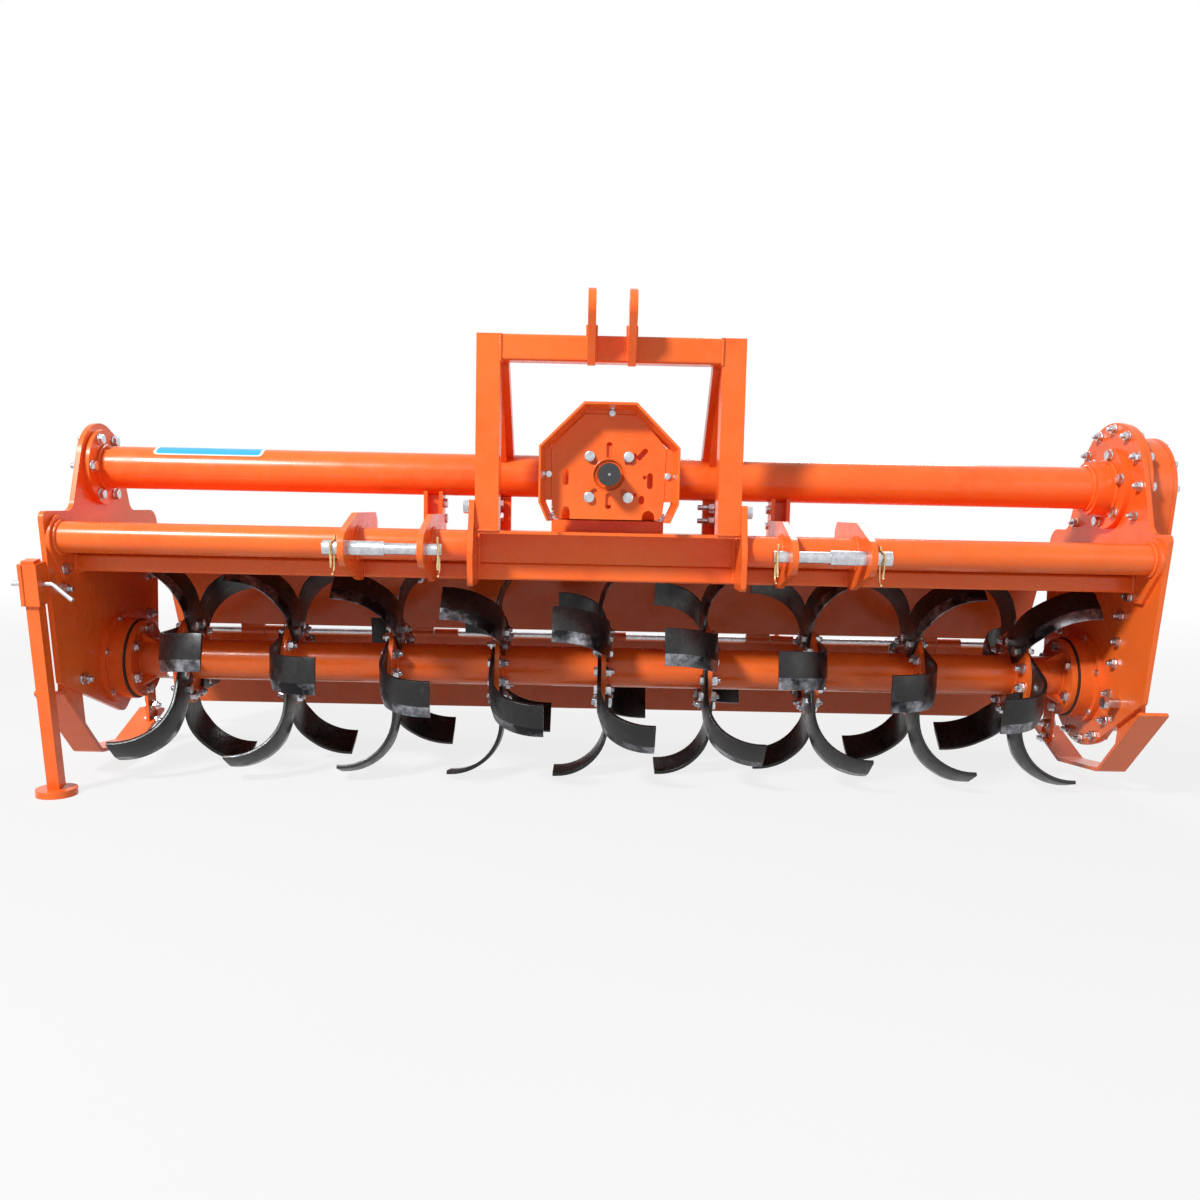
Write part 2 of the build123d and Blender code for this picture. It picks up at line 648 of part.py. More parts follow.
def make_hitch():
    lugs = [
        hitch_lug(LUG_INNER_X, PIN_THIN_R + RUN_FIT),
        hitch_lug(LUG_OUTER_X, PIN_THICK_R + RUN_FIT),
    ]
    save("hitch_lugs_right", *lugs)
    save("hitch_lugs_left", *[mirrored(lug) for lug in lugs])
    thin_x0 = LUG_INNER_X - PIN_THIN_OUT
    step_x = LUG_OUTER_X - PIN_STEP_IN
    head_x = LUG_OUTER_X + LUG_T / 2
    pin = disc_x(thin_x0, step_x, PIN_Y, PIN_Z, PIN_THIN_R)
    pin += disc_x(step_x, head_x + PIN_HEAD_OUT, PIN_Y, PIN_Z, PIN_THICK_R)
    save("hitch_pin_right", pin)
    save("hitch_pin_left", mirrored(pin))


# ---------------------------------------------------------------- bearing housings
def make_bearings():
    """Housings inside the side plates for the rotor's stub shafts, with a seal on each."""
    x = PLATE_INNER_X
    seat_x = x - HOUSING_DEPTH
    housing = rotor_bore(HOUSING_FLANGE_R, x - HOUSING_FLANGE_T, x)
    housing += rotor_bore(HOUSING_R, seat_x, x - HOUSING_FLANGE_T)
    bore = rotor_bore(JOURNAL_R + RUN_FIT, seat_x - SEAL_T, x - HOUSING_FLANGE_T)
    housing -= bore
    save("bearing_housing_right", housing)
    save("bearing_housing_left", mirrored(housing))
    seal = rotor_bore(SEAL_R, seat_x - SEAL_T, seat_x) - bore
    save("shaft_seals", seal, mirrored(seal))


# ---------------------------------------------------------------- rotor
def rotor_end_x():
    return PLATE_INNER_X - HOUSING_DEPTH - SEAL_T - SEAL_GAP


def make_rotor():
    end_x = rotor_end_x()
    tube = rotor_bore(ROTOR_TUBE_R, -end_x, end_x)
    for i in range(FLANGE_COUNT):
        x = i * FLANGE_PITCH - REEL_HALF
        tube += rotor_bore(FLANGE_R, x - FLANGE_T / 2, x + FLANGE_T / 2)
    for side in (-1, 1):
        x = side * end_x
        tube += rotor_bore(END_FLANGE_R, x, x - side * END_FLANGE_T)
        tube += rotor_bore(JOURNAL_R, x, side * (PLATE_INNER_X - HOUSING_FLANGE_T - 2))
    save("rotor_shaft", tube)


def tine():
    """One C-shaped tine that bends towards +X, its tip upright and its root's outer face at x = 0."""
    r = TINE_REACH - TINE_FLAT
    height = sqrt(TINE_TIP_R**2 - (TINE_W / 2) ** 2)
    line = FilletPolyline(
        (0, 30), (TINE_T, 30), (TINE_T, height - TINE_T), (TINE_REACH, height - TINE_T),
        (TINE_REACH, height), (0, height), radius=[0, 0, r - TINE_T, 0, 0, r], close=True,
    )
    strip = slab_y(make_face(line), -TINE_W, TINE_W)
    w = TINE_W / 2
    side = make_face(
        [
            Polyline((-w, height + 5), (w, height + 5), (w, height - 40)),
            ThreePointArc((w, height - 40), (w + 14, 120), (w + 32, 44)),
            Polyline((w + 32, 44), (-w + 36, 40)),
            ThreePointArc((-w + 36, 40), (-w + 16, 115), (-w, height - 70)),
            Line((-w, height - 70), (-w, height + 5)),
        ]
    )
    blade = strip & slab_x(side, -1, TINE_REACH + 1)
    return blade - disc_x(-1, TINE_REACH, 0, 0, ROTOR_TUBE_R + CONTACT)


def make_tines():
    """Tines on both faces of each flange; each crosses over the flange's rim as it bends."""
    right_hand = tine()
    left_hand = mirrored(right_hand)
    right, left = [], []
    root_x = FLANGE_T / 2 + TINE_T
    for i in range(FLANGE_COUNT):
        x = i * FLANGE_PITCH - REEL_HALF
        for k in range(TINES_PER_FLANGE):
            angle = FIRST_TINE_ANGLE + HELIX_STEP * i + 60 * k
            turn = Pos(0, 0, ROTOR_Z) * Rot(90 - angle, 0, 0)
            if k % 2 == 0:
                right.append(Pos(x - root_x, 0, 0) * turn * right_hand)
            else:
                left.append(Pos(x + root_x, 0, 0) * turn * left_hand)
    save("tines_right", *right)
    save("tines_left", *left)


# ---------------------------------------------------------------- rear board
def board_line():
    return [
        (HINGE_Y + 4, HINGE_Z - 6),
        (HINGE_Y + 14, ROTOR_Z - 90),
        (HINGE_Y + 54, ROTOR_Z - 173),
    ]


def knuckle(x, leaf):
    """Hinge barrel with a leaf that is drawn in (y, z)."""
    barrel = disc_x(x, x + KNUCKLE_L, HINGE_Y, HINGE_Z, KNUCKLE_R)
    barrel += slab_x(make_face(Polyline(*leaf, close=True)), x, x + KNUCKLE_L)
    return barrel - disc_x(x, x + KNUCKLE_L, HINGE_Y, HINGE_Z, HINGE_ROD_R + RUN_FIT)


def rod_lug(x):
    """Ear welded on the back of the rear board for the foot of a spring rod."""
    (y0, z0), (y1, z1) = board_line()[:2]
    foot_y = y0 + (y1 - y0) * (z0 - ROD_FOOT[1]) / (z0 - z1) + SHEET_T / 2
    ear = make_hull(
        (Pos(*ROD_FOOT) * Circle(2.3 * ROD_PIN_R)).edges()
        + Polyline(
            (foot_y, ROD_FOOT[1] - 24), (foot_y + 2, ROD_FOOT[1] - 24),
            (foot_y + 2, ROD_FOOT[1] + 24), (foot_y, ROD_FOOT[1] + 24),
            close=True,
        ).edges()
    )
    ear -= Pos(*ROD_FOOT) * Circle(ROD_PIN_R + RUN_FIT)
    return slab_x(ear, x, x + ROD_LUG_T)


def make_rear_board():
    line = board_line()
    sheet = slab_x(bent_strip(line, SHEET_T, 12), -BOARD_HALF_W, BOARD_HALF_W)
    sheet -= disc_x(-BOARD_HALF_W, BOARD_HALF_W, HINGE_Y, HINGE_Z, KNUCKLE_R + 1)
    top_y, top_z = line[0]
    board_leaf = [
        (top_y, top_z - 22), (top_y + SHEET_T, top_z - 22),
        (HINGE_Y + KNUCKLE_R - 2, HINGE_Z), (HINGE_Y, HINGE_Z),
    ]
    edge_y, edge_z = hood_line()[-1]
    hood_leaf = [
        (edge_y + 0.1, edge_z - 0.2), (edge_y + SHEET_T * 0.9, edge_z + SHEET_T * 0.42),
        (HINGE_Y + 2, HINGE_Z + KNUCKLE_R - 2), (HINGE_Y - KNUCKLE_R + 2, HINGE_Z + 2),
    ]
    hood_side = []
    for i in range(KNUCKLE_COUNT):
        x = (i - (KNUCKLE_COUNT - 1) / 2) * KNUCKLE_PITCH
        sheet += knuckle(x + 1, board_leaf)
        hood_side.append(knuckle(x - KNUCKLE_L - 1, hood_leaf))
    gap = ROD_EYE_W / 2 + LUG_GAP
    for side in (-1, 1):
        sheet += rod_lug(side * ROD_X + gap) + rod_lug(side * ROD_X - gap - ROD_LUG_T)
    save("rear_board", sheet)
    save("hinge_knuckles", *hood_side)
    rod_half = PLATE_INNER_X - 6
    save("hinge_rod", disc_x(-rod_half, rod_half, HINGE_Y, HINGE_Z, HINGE_ROD_R))


# ---------------------------------------------------------------- spring rods
def rod_frame(x):
    """Plane with its origin at a rod's foot pin and its normal up the rod."""
    up = (0, ROD_EYE[0] - ROD_FOOT[0], ROD_EYE[1] - ROD_FOOT[1])
    return Plane(origin=(x, *ROD_FOOT), x_dir=(1, 0, 0), z_dir=up)


def rod_length():
    return hypot(ROD_EYE[0] - ROD_FOOT[0], ROD_EYE[1] - ROD_FOOT[1])


def along(frame, s0, s1, r):
    """Round bar on a rod's axis between two distances from its foot pin."""
    return frame * (Pos(0, 0, (s0 + s1) / 2) * Cylinder(r, s1 - s0))


def make_spring_rods():
    rods, nuts, springs, pins, brackets = [], [], [], [], []
    half = ROD_EYE_W / 2
    pin_half = half + LUG_GAP + ROD_LUG_T + 4
    for side in (-1, 1):
        x = side * ROD_X
        frame = rod_frame(x)
        nut = rod_length() + BRACKET_T / 2 + 3
        rod = along(frame, 4, nut + 44, ROD_R)
        rod += disc_x(x - half, x + half, *ROD_FOOT, ROD_EYE_R)
        rod -= disc_x(x - half, x + half, *ROD_FOOT, ROD_PIN_R + RUN_FIT)
        rods.append(rod)
        bore = along(frame, 0, nut + 44, ROD_R + CONTACT)
        nuts.append(along(frame, nut, nut + ROD_NUT_T, ROD_NUT_R) - bore)
        springs.append(along(frame, SPRING_START, SPRING_START + SPRING_L, SPRING_R) - bore)
        pins.append(disc_x(x - pin_half, x + pin_half, *ROD_FOOT, ROD_PIN_R))
        brackets.append(rod_bracket(x))
    save("spring_rods", *rods)
    save("rod_nuts", *nuts)
    save("rod_springs", *springs)
    save("rod_pins", *pins)
    save("rod_brackets", *brackets)


def rod_bracket(x):
    """Slotted guide on the back slope of the hood for the top of a rod."""
    (y0, z0), (y1, z1) = hood_line()[2:]
    run = hypot(y1 - y0, z1 - z0)
    down = ((y1 - y0) / run, (z1 - z0) / run)
    out = (-down[1], down[0])
    reach = (ROD_EYE[0] - y0) * out[0] + (ROD_EYE[1] - z0) * out[1] - SHEET_T
    seat = (ROD_EYE[0] - reach * out[0], ROD_EYE[1] - reach * out[1])
    frame = Plane(origin=(x, *seat), x_dir=(1, 0, 0), z_dir=(0, *out))
    base = frame * (Pos(0, -26, 3) * Box(BRACKET_W, 84, 6))
    tip = reach + 20
    web = frame * (Pos(0, 0, tip / 2) * Box(BRACKET_W, BRACKET_T, tip))
    short = web.edges().filter_by(lambda edge: abs(edge.length - BRACKET_T) < 0.01)
    web = fillet(short.sort_by(Axis.Y)[-2:], 14)
    slot = extrude(RectangleRounded(17, 24, 8.4), 40, both=True)
    return base + web - frame * (Pos(0, 0, reach) * Rot(90, 0, 0) * slot)


# ---------------------------------------------------------------- skids
def make_skids():
    """Wear skids under the side plates, each on a front tab and a rear link."""
    line = list(SKID_LINE)
    strip = bent_strip(line, SKID_T, SKID_BEND_R)
    skid = slab_x(strip, PLATE_INNER_X, PLATE_INNER_X + SKID_W)
    case = slab_x(gear_case_face(1), PLATE_OUTER_X, PLATE_OUTER_X + CASE_FLANGE_T)
    floor_line = [(line[-1][0], -50), (line[0][0], -50)]
    below = make_face(Polyline(*line, *floor_line, close=True))
    below = slab_x(below, PLATE_OUTER_X, PLATE_OUTER_X + LINK_T)
    tabs = []
    for points in (LINK_FRONT, LINK_REAR):
        face = make_face(Polyline(*points, close=True))
        tab = slab_x(face, PLATE_OUTER_X, PLATE_OUTER_X + LINK_T)
        tabs.append(tab - skid - below - case)
    save("skid_right", skid)
    save("skid_left", mirrored(skid))
    save("skid_links", *tabs, *[mirrored(tab) for tab in tabs])


# ---------------------------------------------------------------- stand
def make_stand():
    """Parking leg in a socket on the front edge of the left side plate."""
    rise = PLATE_FRONT_TOP[1] - PLATE_FRONT_LOW[1]
    lean = atan2(PLATE_FRONT_LOW[0] - PLATE_FRONT_TOP[0], rise)
    half = LEG_SIZE / 2
    hole = half + LEG_CLEARANCE
    outer = hole + SOCKET_WALL
    x = -PLATE_OUTER_X - half
    mid_z = (SOCKET_Z_LOW + SOCKET_Z_HIGH) / 2
    mid_y = plate_edge_y(mid_z) - (outer + CONTACT) / cos(lean)
    frame = Pos(x, mid_y, mid_z) * Rot(degrees(lean), 0, 0)
    height = SOCKET_Z_HIGH - SOCKET_Z_LOW
    socket = Box(2 * outer, 2 * outer, height) - Box(2 * hole, 2 * hole, height)
    strap_x = half - STRAP_T / 2
    socket += Pos(strap_x, outer + STRAP_L / 2, 0) * Box(STRAP_T, STRAP_L, height - 10)
    pin_hole = Rot(0, 90, 0) * Cylinder(LOCK_PIN_R + RUN_FIT, 4 * outer)
    save("stand_socket", frame * (socket - pin_hole))
    down = (mid_z - FOOT_T) / cos(lean) - half * tan(lean)
    up = height / 2 + LEG_PROUD
    leg = Pos(0, 0, (up - down) / 2) * Box(LEG_SIZE, LEG_SIZE, up + down)
    save("stand_leg", frame * leg)
    foot_y = mid_y + (mid_z - FOOT_T) * tan(lean)
    save("stand_foot", Pos(x, foot_y, FOOT_T / 2) * Cylinder(FOOT_R, FOOT_T))

    start = Vector(x + half + CONTACT, mid_y, mid_z)
    bend = start + Vector(HANDLE_REACH, 0, 0)
    path = FilletPolyline(start, bend, bend + Vector(*HANDLE_TIP), radius=HANDLE_BEND_R)
    handle = sweep(Plane(start, z_dir=(1, 0, 0)) * Circle(LOCK_PIN_R), path=path)
    tip = disc_x(x - half - CONTACT, x - outer - 22, mid_y, mid_z, LOCK_PIN_R)
    save("stand_lock_pin", handle, tip)


if __name__ == "__main__":
    os.makedirs("parts", exist_ok=True)
    make_side_plates()
    make_doublers()
    make_gear_case()
    make_front_frame()
    make_hood()
    make_axle_tubes()
    make_gearbox()
    make_guard()
    make_input_shaft()
    make_mast()
    make_mast_ears()
    make_braces()
    make_tube_supports()
    make_hitch()
    make_bearings()
    make_rotor()
    make_tines()
    make_rear_board()
    make_spring_rods()
    make_skids()
    make_stand()
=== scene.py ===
from math import cos, hypot, pi, radians, sin
import random
import bmesh
import bpy
from mathutils import Matrix, Vector


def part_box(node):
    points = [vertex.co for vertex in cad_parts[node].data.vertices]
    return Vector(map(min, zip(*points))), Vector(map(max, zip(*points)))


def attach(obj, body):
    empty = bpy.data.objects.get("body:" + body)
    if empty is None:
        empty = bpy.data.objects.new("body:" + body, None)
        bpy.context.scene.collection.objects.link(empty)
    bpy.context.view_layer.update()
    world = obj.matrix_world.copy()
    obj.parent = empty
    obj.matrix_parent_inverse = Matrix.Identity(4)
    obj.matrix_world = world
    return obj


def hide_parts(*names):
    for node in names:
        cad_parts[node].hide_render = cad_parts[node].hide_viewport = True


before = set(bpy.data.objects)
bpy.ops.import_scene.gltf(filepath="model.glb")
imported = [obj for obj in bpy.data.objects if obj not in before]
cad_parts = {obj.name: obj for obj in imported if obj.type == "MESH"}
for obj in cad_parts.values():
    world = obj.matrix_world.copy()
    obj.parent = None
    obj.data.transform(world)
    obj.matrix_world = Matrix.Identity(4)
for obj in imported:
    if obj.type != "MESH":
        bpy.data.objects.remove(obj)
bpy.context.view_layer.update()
random.seed(7)

# ---- places in the frame
MM = 0.001
X, Y, Z = 0, 1, 2
LOW, HIGH = 0, 1
SIDES = (-1, 1)  # left and right half of the machine
LEFT, RIGHT, FRONTWARD, UPWARD, DOWNWARD = (-1, 0, 0), (1, 0, 0), (0, -1, 0), (0, 0, 1), (0, 0, -1)


def middle(node):
    low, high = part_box(node)
    return (low + high) / 2


MAST_X = middle("input_shaft").x
ROTOR_Y = middle("rotor_shaft").y


def at(x, y, z):
    """Point in metres, from mm right of the mast, behind the rotor axis and above the floor."""
    return Vector((MAST_X + x * MM, ROTOR_Y + y * MM, z * MM))


def in_mm(value, axis):
    """One coordinate of the frame in those mm."""
    return (value - (MAST_X, ROTOR_Y, 0)[axis]) / MM


def side_of(node, axis, end):
    """Low or high face of a node's box."""
    return in_mm(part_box(node)[end][axis], axis)


def centre_of(node, axis):
    return in_mm(middle(node)[axis], axis)


def outward(side):
    """Direction away from the middle of the machine."""
    return (side, 0, 0)


def inward(side):
    return (-side, 0, 0)


def machine_at(x, y, z):
    """Matrix that sets millimetres down at a point of the machine."""
    return Matrix.Translation(at(x, y, z)) @ Matrix.Scale(MM, 4)


MACHINE = machine_at(0, 0, 0)


# ---- materials
def grey(value):
    return (value, value, value, 1)


class Shade:
    """Material with nodes round its Principled shader."""

    def __init__(self, name):
        self.mat = bpy.data.materials.new(name)
        self.mat.use_nodes = True
        self.nodes, self.links = self.mat.node_tree.nodes, self.mat.node_tree.links
        self.shader = self.nodes["Principled BSDF"]

    def put(self, socket, value):
        """A plain value, or another node's output, on one of the shader's own sockets."""
        target = self.shader.inputs[socket]
        if hasattr(value, "links"):
            self.links.new(value, target)
        else:
            target.default_value = value

    def noise(self, scale, detail, rough=0.5):
        coord = self.nodes.new("ShaderNodeTexCoord")
        tex = self.nodes.new("ShaderNodeTexNoise")
        tex.inputs["Scale"].default_value = scale
        tex.inputs["Detail"].default_value = detail
        tex.inputs["Roughness"].default_value = rough
        self.links.new(coord.outputs["Object"], tex.inputs["Vector"])
        return tex.outputs["Fac"]

    def ramp(self, source, start, end, low=0.0, high=1.0):
        """Grey that goes from low to high while the source goes from start to end."""
        node = self.nodes.new("ShaderNodeValToRGB")
        for element, spot, value in zip(node.color_ramp.elements, (start, end), (low, high)):
            element.position = spot
            element.color = grey(value)
        self.links.new(source, node.inputs["Fac"])
        return node.outputs["Color"]

    def mix(self, factor, first, second):
        """Mix of two colours, each of them plain or another node's output."""
        node = self.nodes.new("ShaderNodeMix")
        node.data_type = "RGBA"
        for name, value in (("Factor", factor), ("A", first), ("B", second)):
            target = [s for s in node.inputs if s.name == name and s.enabled][0]
            if hasattr(value, "links"):
                self.links.new(value, target)
            else:
                target.default_value = (*value, 1)
        return [s for s in node.outputs if s.enabled][0]

    def relief(self, height, strength, distance, edge=0.0):
        """Fine bumps, over edges softened to a radius."""
        bump = self.nodes.new("ShaderNodeBump")
        bump.inputs["Strength"].default_value = strength
        bump.inputs["Distance"].default_value = distance
        self.links.new(height, bump.inputs["Height"])
        if edge:
            bevel = self.nodes.new("ShaderNodeBevel")
            bevel.samples = 4
            bevel.inputs["Radius"].default_value = edge
            self.links.new(bevel.outputs["Normal"], bump.inputs["Normal"])
        self.put("Normal", bump.outputs["Normal"])


def paint(name, base, deep, gloss=0.24, edge=0.0016, peel=0.12):
    """Sprayed gloss paint: slow colour drift, dusty clouds, duller patches and orange peel."""
    shade = Shade(name)
    drift = shade.ramp(shade.noise(5.0, 4.0), 0.35, 0.7)
    cloud = shade.ramp(shade.noise(38.0, 5.0, 0.6), 0.45, 0.75)
    dusty = tuple(c * 0.92 + 0.012 for c in base)
    shade.put("Base Color", shade.mix(cloud, shade.mix(drift, base, deep), dusty))
    shade.put("Roughness", shade.ramp(shade.noise(24.0, 6.0), 0.3, 0.75, gloss - 0.05, gloss + 0.1))
    shade.put("Specular IOR Level", 0.38)
    shade.relief(shade.noise(260.0, 2.0), peel, 0.0006, edge)
    return shade.mat


def metal(name, base, dark, rough):
    """Plated or bare metal with small darker spots."""
    shade = Shade(name)
    spots = shade.ramp(shade.noise(90.0, 6.0, 0.65), 0.35, 0.7)
    shade.put("Base Color", shade.mix(spots, base, dark))
    shade.put("Roughness", shade.ramp(shade.noise(54.0, 4.0), 0.3, 0.8, rough, rough + 0.2))
    shade.put("Metallic", 1.0)
    shade.relief(shade.noise(540.0, 3.0), 0.15, 0.0004)
    return shade.mat


def dull(name, base, second, rough, scale):
    """Rubber or black plastic."""
    shade = Shade(name)
    shade.put("Base Color", shade.mix(shade.noise(scale, 5.0), base, second))
    shade.put("Roughness", shade.ramp(shade.noise(scale, 4.0), 0.3, 0.8, rough, rough + 0.15))
    shade.relief(shade.noise(scale * 5, 3.0), 0.2, 0.0005)
    return shade.mat


def tine_steel():
    """Black paint over forged steel, with patches rubbed down to the metal."""
    shade = Shade("tine_steel")
    patches = shade.ramp(shade.noise(22.0, 8.0, 0.62), 0.60, 0.74, 0.0, 0.7)
    fine = shade.ramp(shade.noise(120.0, 6.0, 0.7), 0.42, 0.62)
    black = shade.mix(fine, (0.006, 0.006, 0.007), (0.013, 0.012, 0.013))
    worn = shade.mix(fine, (0.07, 0.075, 0.085), (0.15, 0.155, 0.17))
    shade.put("Base Color", shade.mix(patches, black, worn))
    shade.put("Metallic", patches)
    shade.put("Roughness", shade.ramp(shade.noise(60.0, 5.0), 0.3, 0.75, 0.24, 0.46))
    shade.put("Specular IOR Level", 0.42)
    shade.relief(shade.noise(180.0, 4.0, 0.6), 0.35, 0.0006, 0.0015)
    return shade.mat


def ground_steel():
    """Ground cutting bevel: bright streaks, and remains of black paint."""
    shade = Shade("ground_steel")
    streak = shade.ramp(shade.noise(55.0, 7.0, 0.68), 0.40, 0.62)
    bright = shade.mix(streak, (0.10, 0.105, 0.12), (0.34, 0.35, 0.38))
    dirt = shade.ramp(shade.noise(14.0, 6.0, 0.6), 0.42, 0.56)
    shade.put("Base Color", shade.mix(dirt, bright, (0.012, 0.012, 0.014)))
    shade.put("Roughness", shade.ramp(shade.noise(80.0, 5.0), 0.3, 0.75, 0.26, 0.45))
    shade.put("Metallic", 0.8)
    shade.relief(shade.noise(240.0, 4.0, 0.6), 0.3, 0.0005)
    return shade.mat


MAT = {
    "paint": paint("orange_paint", (0.92, 0.160, 0.022), (0.86, 0.118, 0.014)),
    "zinc": metal("zinc_plate", (0.72, 0.73, 0.76), (0.42, 0.44, 0.48), 0.22),
    "yellow": metal("yellow_zinc", (0.80, 0.66, 0.30), (0.58, 0.50, 0.30), 0.25),
    "steel": metal("bare_steel", (0.55, 0.55, 0.56), (0.30, 0.30, 0.31), 0.30),
    "rubber": dull("seal_rubber", (0.012, 0.012, 0.013), (0.022, 0.021, 0.021), 0.55, 60.0),
    "cap": dull("black_cap", (0.020, 0.021, 0.023), (0.030, 0.031, 0.034), 0.40, 200.0),
    "tine": tine_steel(),
    "ground": ground_steel(),
    "label_white": paint("label_border", (0.82, 0.84, 0.85), (0.78, 0.80, 0.82), 0.35, 0.0, 0.05),
    "label_cyan": paint("label_field", (0.03, 0.42, 0.66), (0.04, 0.36, 0.60), 0.35, 0.0, 0.05),
}

# Nodes that aren't painted, by finish.
NODE_FINISH = {
    "zinc": [
        "hitch_pin_left", "hitch_pin_right", "hinge_rod", "spring_rods", "rod_pins", "rod_nuts",
        "stand_lock_pin",
    ],
    "steel": ["input_shaft"],
    "rubber": ["shaft_seals", "rod_springs"],
    "cap": ["shaft_cap"],
    "tine": ["tines_left", "tines_right"],
}
finish_of = {node: finish for finish, members in NODE_FINISH.items() for node in members}
for node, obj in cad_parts.items():
    chosen = MAT[finish_of.get(node, "paint")]
    if not obj.material_slots:
        obj.data.materials.append(chosen)
    for slot in obj.material_slots:
        slot.material = chosen


# ---- parts in mm, along +Z
# A part is its points and faces. Piece.add() takes it with the matrix that sets it down.
def circle(radius, sides):
    """Pairs of places round a circle, from the first axis towards the second."""
    angles = [2 * pi * i / sides for i in range(sides)]
    return [(radius * cos(angle), radius * sin(angle)) for angle in angles]


def ring(radius, height, sides=24):
    return [(x, y, height) for x, y in circle(radius, sides)]


def stack(rings):
    """Closed skin over rings of the same number of points."""
    sides = len(rings[0])
    verts = [p for points in rings for p in points]
    faces = [list(range(sides))[::-1]]
    for level in range(len(rings) - 1):
        a, b = level * sides, (level + 1) * sides
        for i in range(sides):
            j = (i + 1) % sides
            faces.append([a + i, a + j, b + j, b + i])
    faces.append([len(verts) - sides + i for i in range(sides)])
    return verts, faces


def lathe(profile, sides=24):
    """Turned part, from pairs of radius and height."""
    return stack([ring(r, z, sides) for r, z in profile])


def hex_head(across, height):
    """Hexagon whose corners are cut by a cone, as on rolled bolt heads and nuts."""
    flat, sides = across / 2, 24
    crown = 0.94 * flat
    foot, shoulder = [], []
    for i in range(sides):
        angle = 2 * pi * i / sides
        reach = flat / cos((angle + pi / 6) % (pi / 3) - pi / 6)
        x, y = reach * cos(angle), reach * sin(angle)
        foot.append((x, y, 0))
        shoulder.append((x, y, height - (hypot(x, y) - crown) * 0.5))
    return stack([foot, shoulder, ring(crown, height), ring(crown * 0.86, height)])


def washer(radius, thickness):
    edge = 0.25 * thickness
    rim = [(radius, edge), (radius, thickness - edge)]
    return lathe([(radius - edge, 0), *rim, (radius - edge, thickness)])


def thread(radius, length, pitch=1.6):
    """Threaded end of a bolt, as a row of ridges."""
    profile = [(radius - 0.5, 0)]
    for i in range(max(1, int(length / pitch) - 1)):
        for r, share in ((radius, 0.3), (radius, 0.5), (radius - 0.9, 0.9)):
            profile.append((r, (i + share) * pitch))
    return lathe(profile + [(radius - 0.4, length - 1.2), (radius - 1.5, length)], 16)


def place(point, direction, spin=0.0):
    """Matrix that stands a part on a point in metres, along a direction."""
    turn = Vector(direction).to_track_quat("Z", "Y").to_matrix().to_4x4()
    return Matrix.Translation(point) @ turn @ Matrix.Rotation(spin, 4, "Z") @ Matrix.Scale(MM, 4)


# ---- parts in the machine's own mm
def prism_x(outline, x0, x1):
    """Plate between two planes across X, from its outline of y and z."""
    return stack([[(x, y, z) for y, z in outline] for x in (x0, x1)])


def pierced_plate(outline, holes, y0, y1):
    """Upright plate with holes, from loops of x and z."""
    curve = bpy.data.curves.new("plate_loops", "CURVE")
    curve.dimensions = "2D"
    curve.fill_mode = "BOTH"
    curve.extrude = (y1 - y0) / 2
    for loop in [outline, *holes]:
        spline = curve.splines.new("POLY")
        spline.points.add(len(loop) - 1)
        for point, (x, z) in zip(spline.points, loop):
            point.co = (x, z, 0, 1)
        spline.use_cyclic_u = True
    obj = bpy.data.objects.new("plate_loops", curve)
    mesh = bpy.data.meshes.new_from_object(obj)
    middle_y = (y0 + y1) / 2
    verts = [(v.co.x, middle_y - v.co.z, v.co.y) for v in mesh.vertices]
    faces = [list(face.vertices) for face in mesh.polygons]
    bpy.data.objects.remove(obj)
    bpy.data.curves.remove(curve)
    bpy.data.meshes.remove(mesh)
    return verts, faces


def slot_loop(x, z, width, height, lean):
    """Slot with round ends, leaning to the left by some degrees."""
    r, turn = width / 2, radians(lean)
    reach = max(0.0, height / 2 - r)
    points = []
    for start, sign in ((0, 1), (180, -1)):
        for i in range(9):
            angle = radians(start + 180 * i / 8)
            px, pz = r * cos(angle), sign * reach + r * sin(angle)
            points.append((
                x + px * cos(turn) - pz * sin(turn),
                z + px * sin(turn) + pz * cos(turn),
            ))
    return points


# ---- parts in metres
def around_x(x, y, z, radius, degrees):
    """Point round an axis along X, in degrees from the front over the top."""
    angle = radians(degrees)
    return at(x, y - radius * cos(angle), z + radius * sin(angle))


def circle_x(x, y, z, radius, start=0, end=360, steps=48):
    """Points round an axis along X; a whole turn leaves out the last one."""
    count = steps if end - start == 360 else steps + 1
    return [around_x(x, y, z, radius, start + (end - start) * i / steps) for i in range(count)]


def sweep(points, radii, sides=8, closed=False):
    """Round tube through points, with one radius or one for each point."""
    points = [Vector(p) for p in points]
    count = len(points)
    verts, faces = [], []
    normal = None
    for i, point in enumerate(points):
        before = points[i - 1] if (closed or i) else point
        after = points[(i + 1) % count] if (closed or i < count - 1) else point
        tangent = (after - before).normalized()
        if normal is None:
            normal = tangent.orthogonal().normalized()
        normal = (normal - tangent * normal.dot(tangent)).normalized()
        side = tangent.cross(normal)
        r = radii[i] if hasattr(radii, "__len__") else radii
        for j in range(sides):
            angle = 2 * pi * j / sides
            verts.append(point + (normal * cos(angle) + side * sin(angle)) * r)
    for i in range(count if closed else count - 1):
        a, b = i * sides, ((i + 1) % count) * sides
        for j in range(sides):
            k = (j + 1) % sides
            faces.append([a + j, a + k, b + k, b + j])
    if not closed:
        faces.append(list(range(sides))[::-1])
        faces.append([(count - 1) * sides + j for j in range(sides)])
    return verts, faces


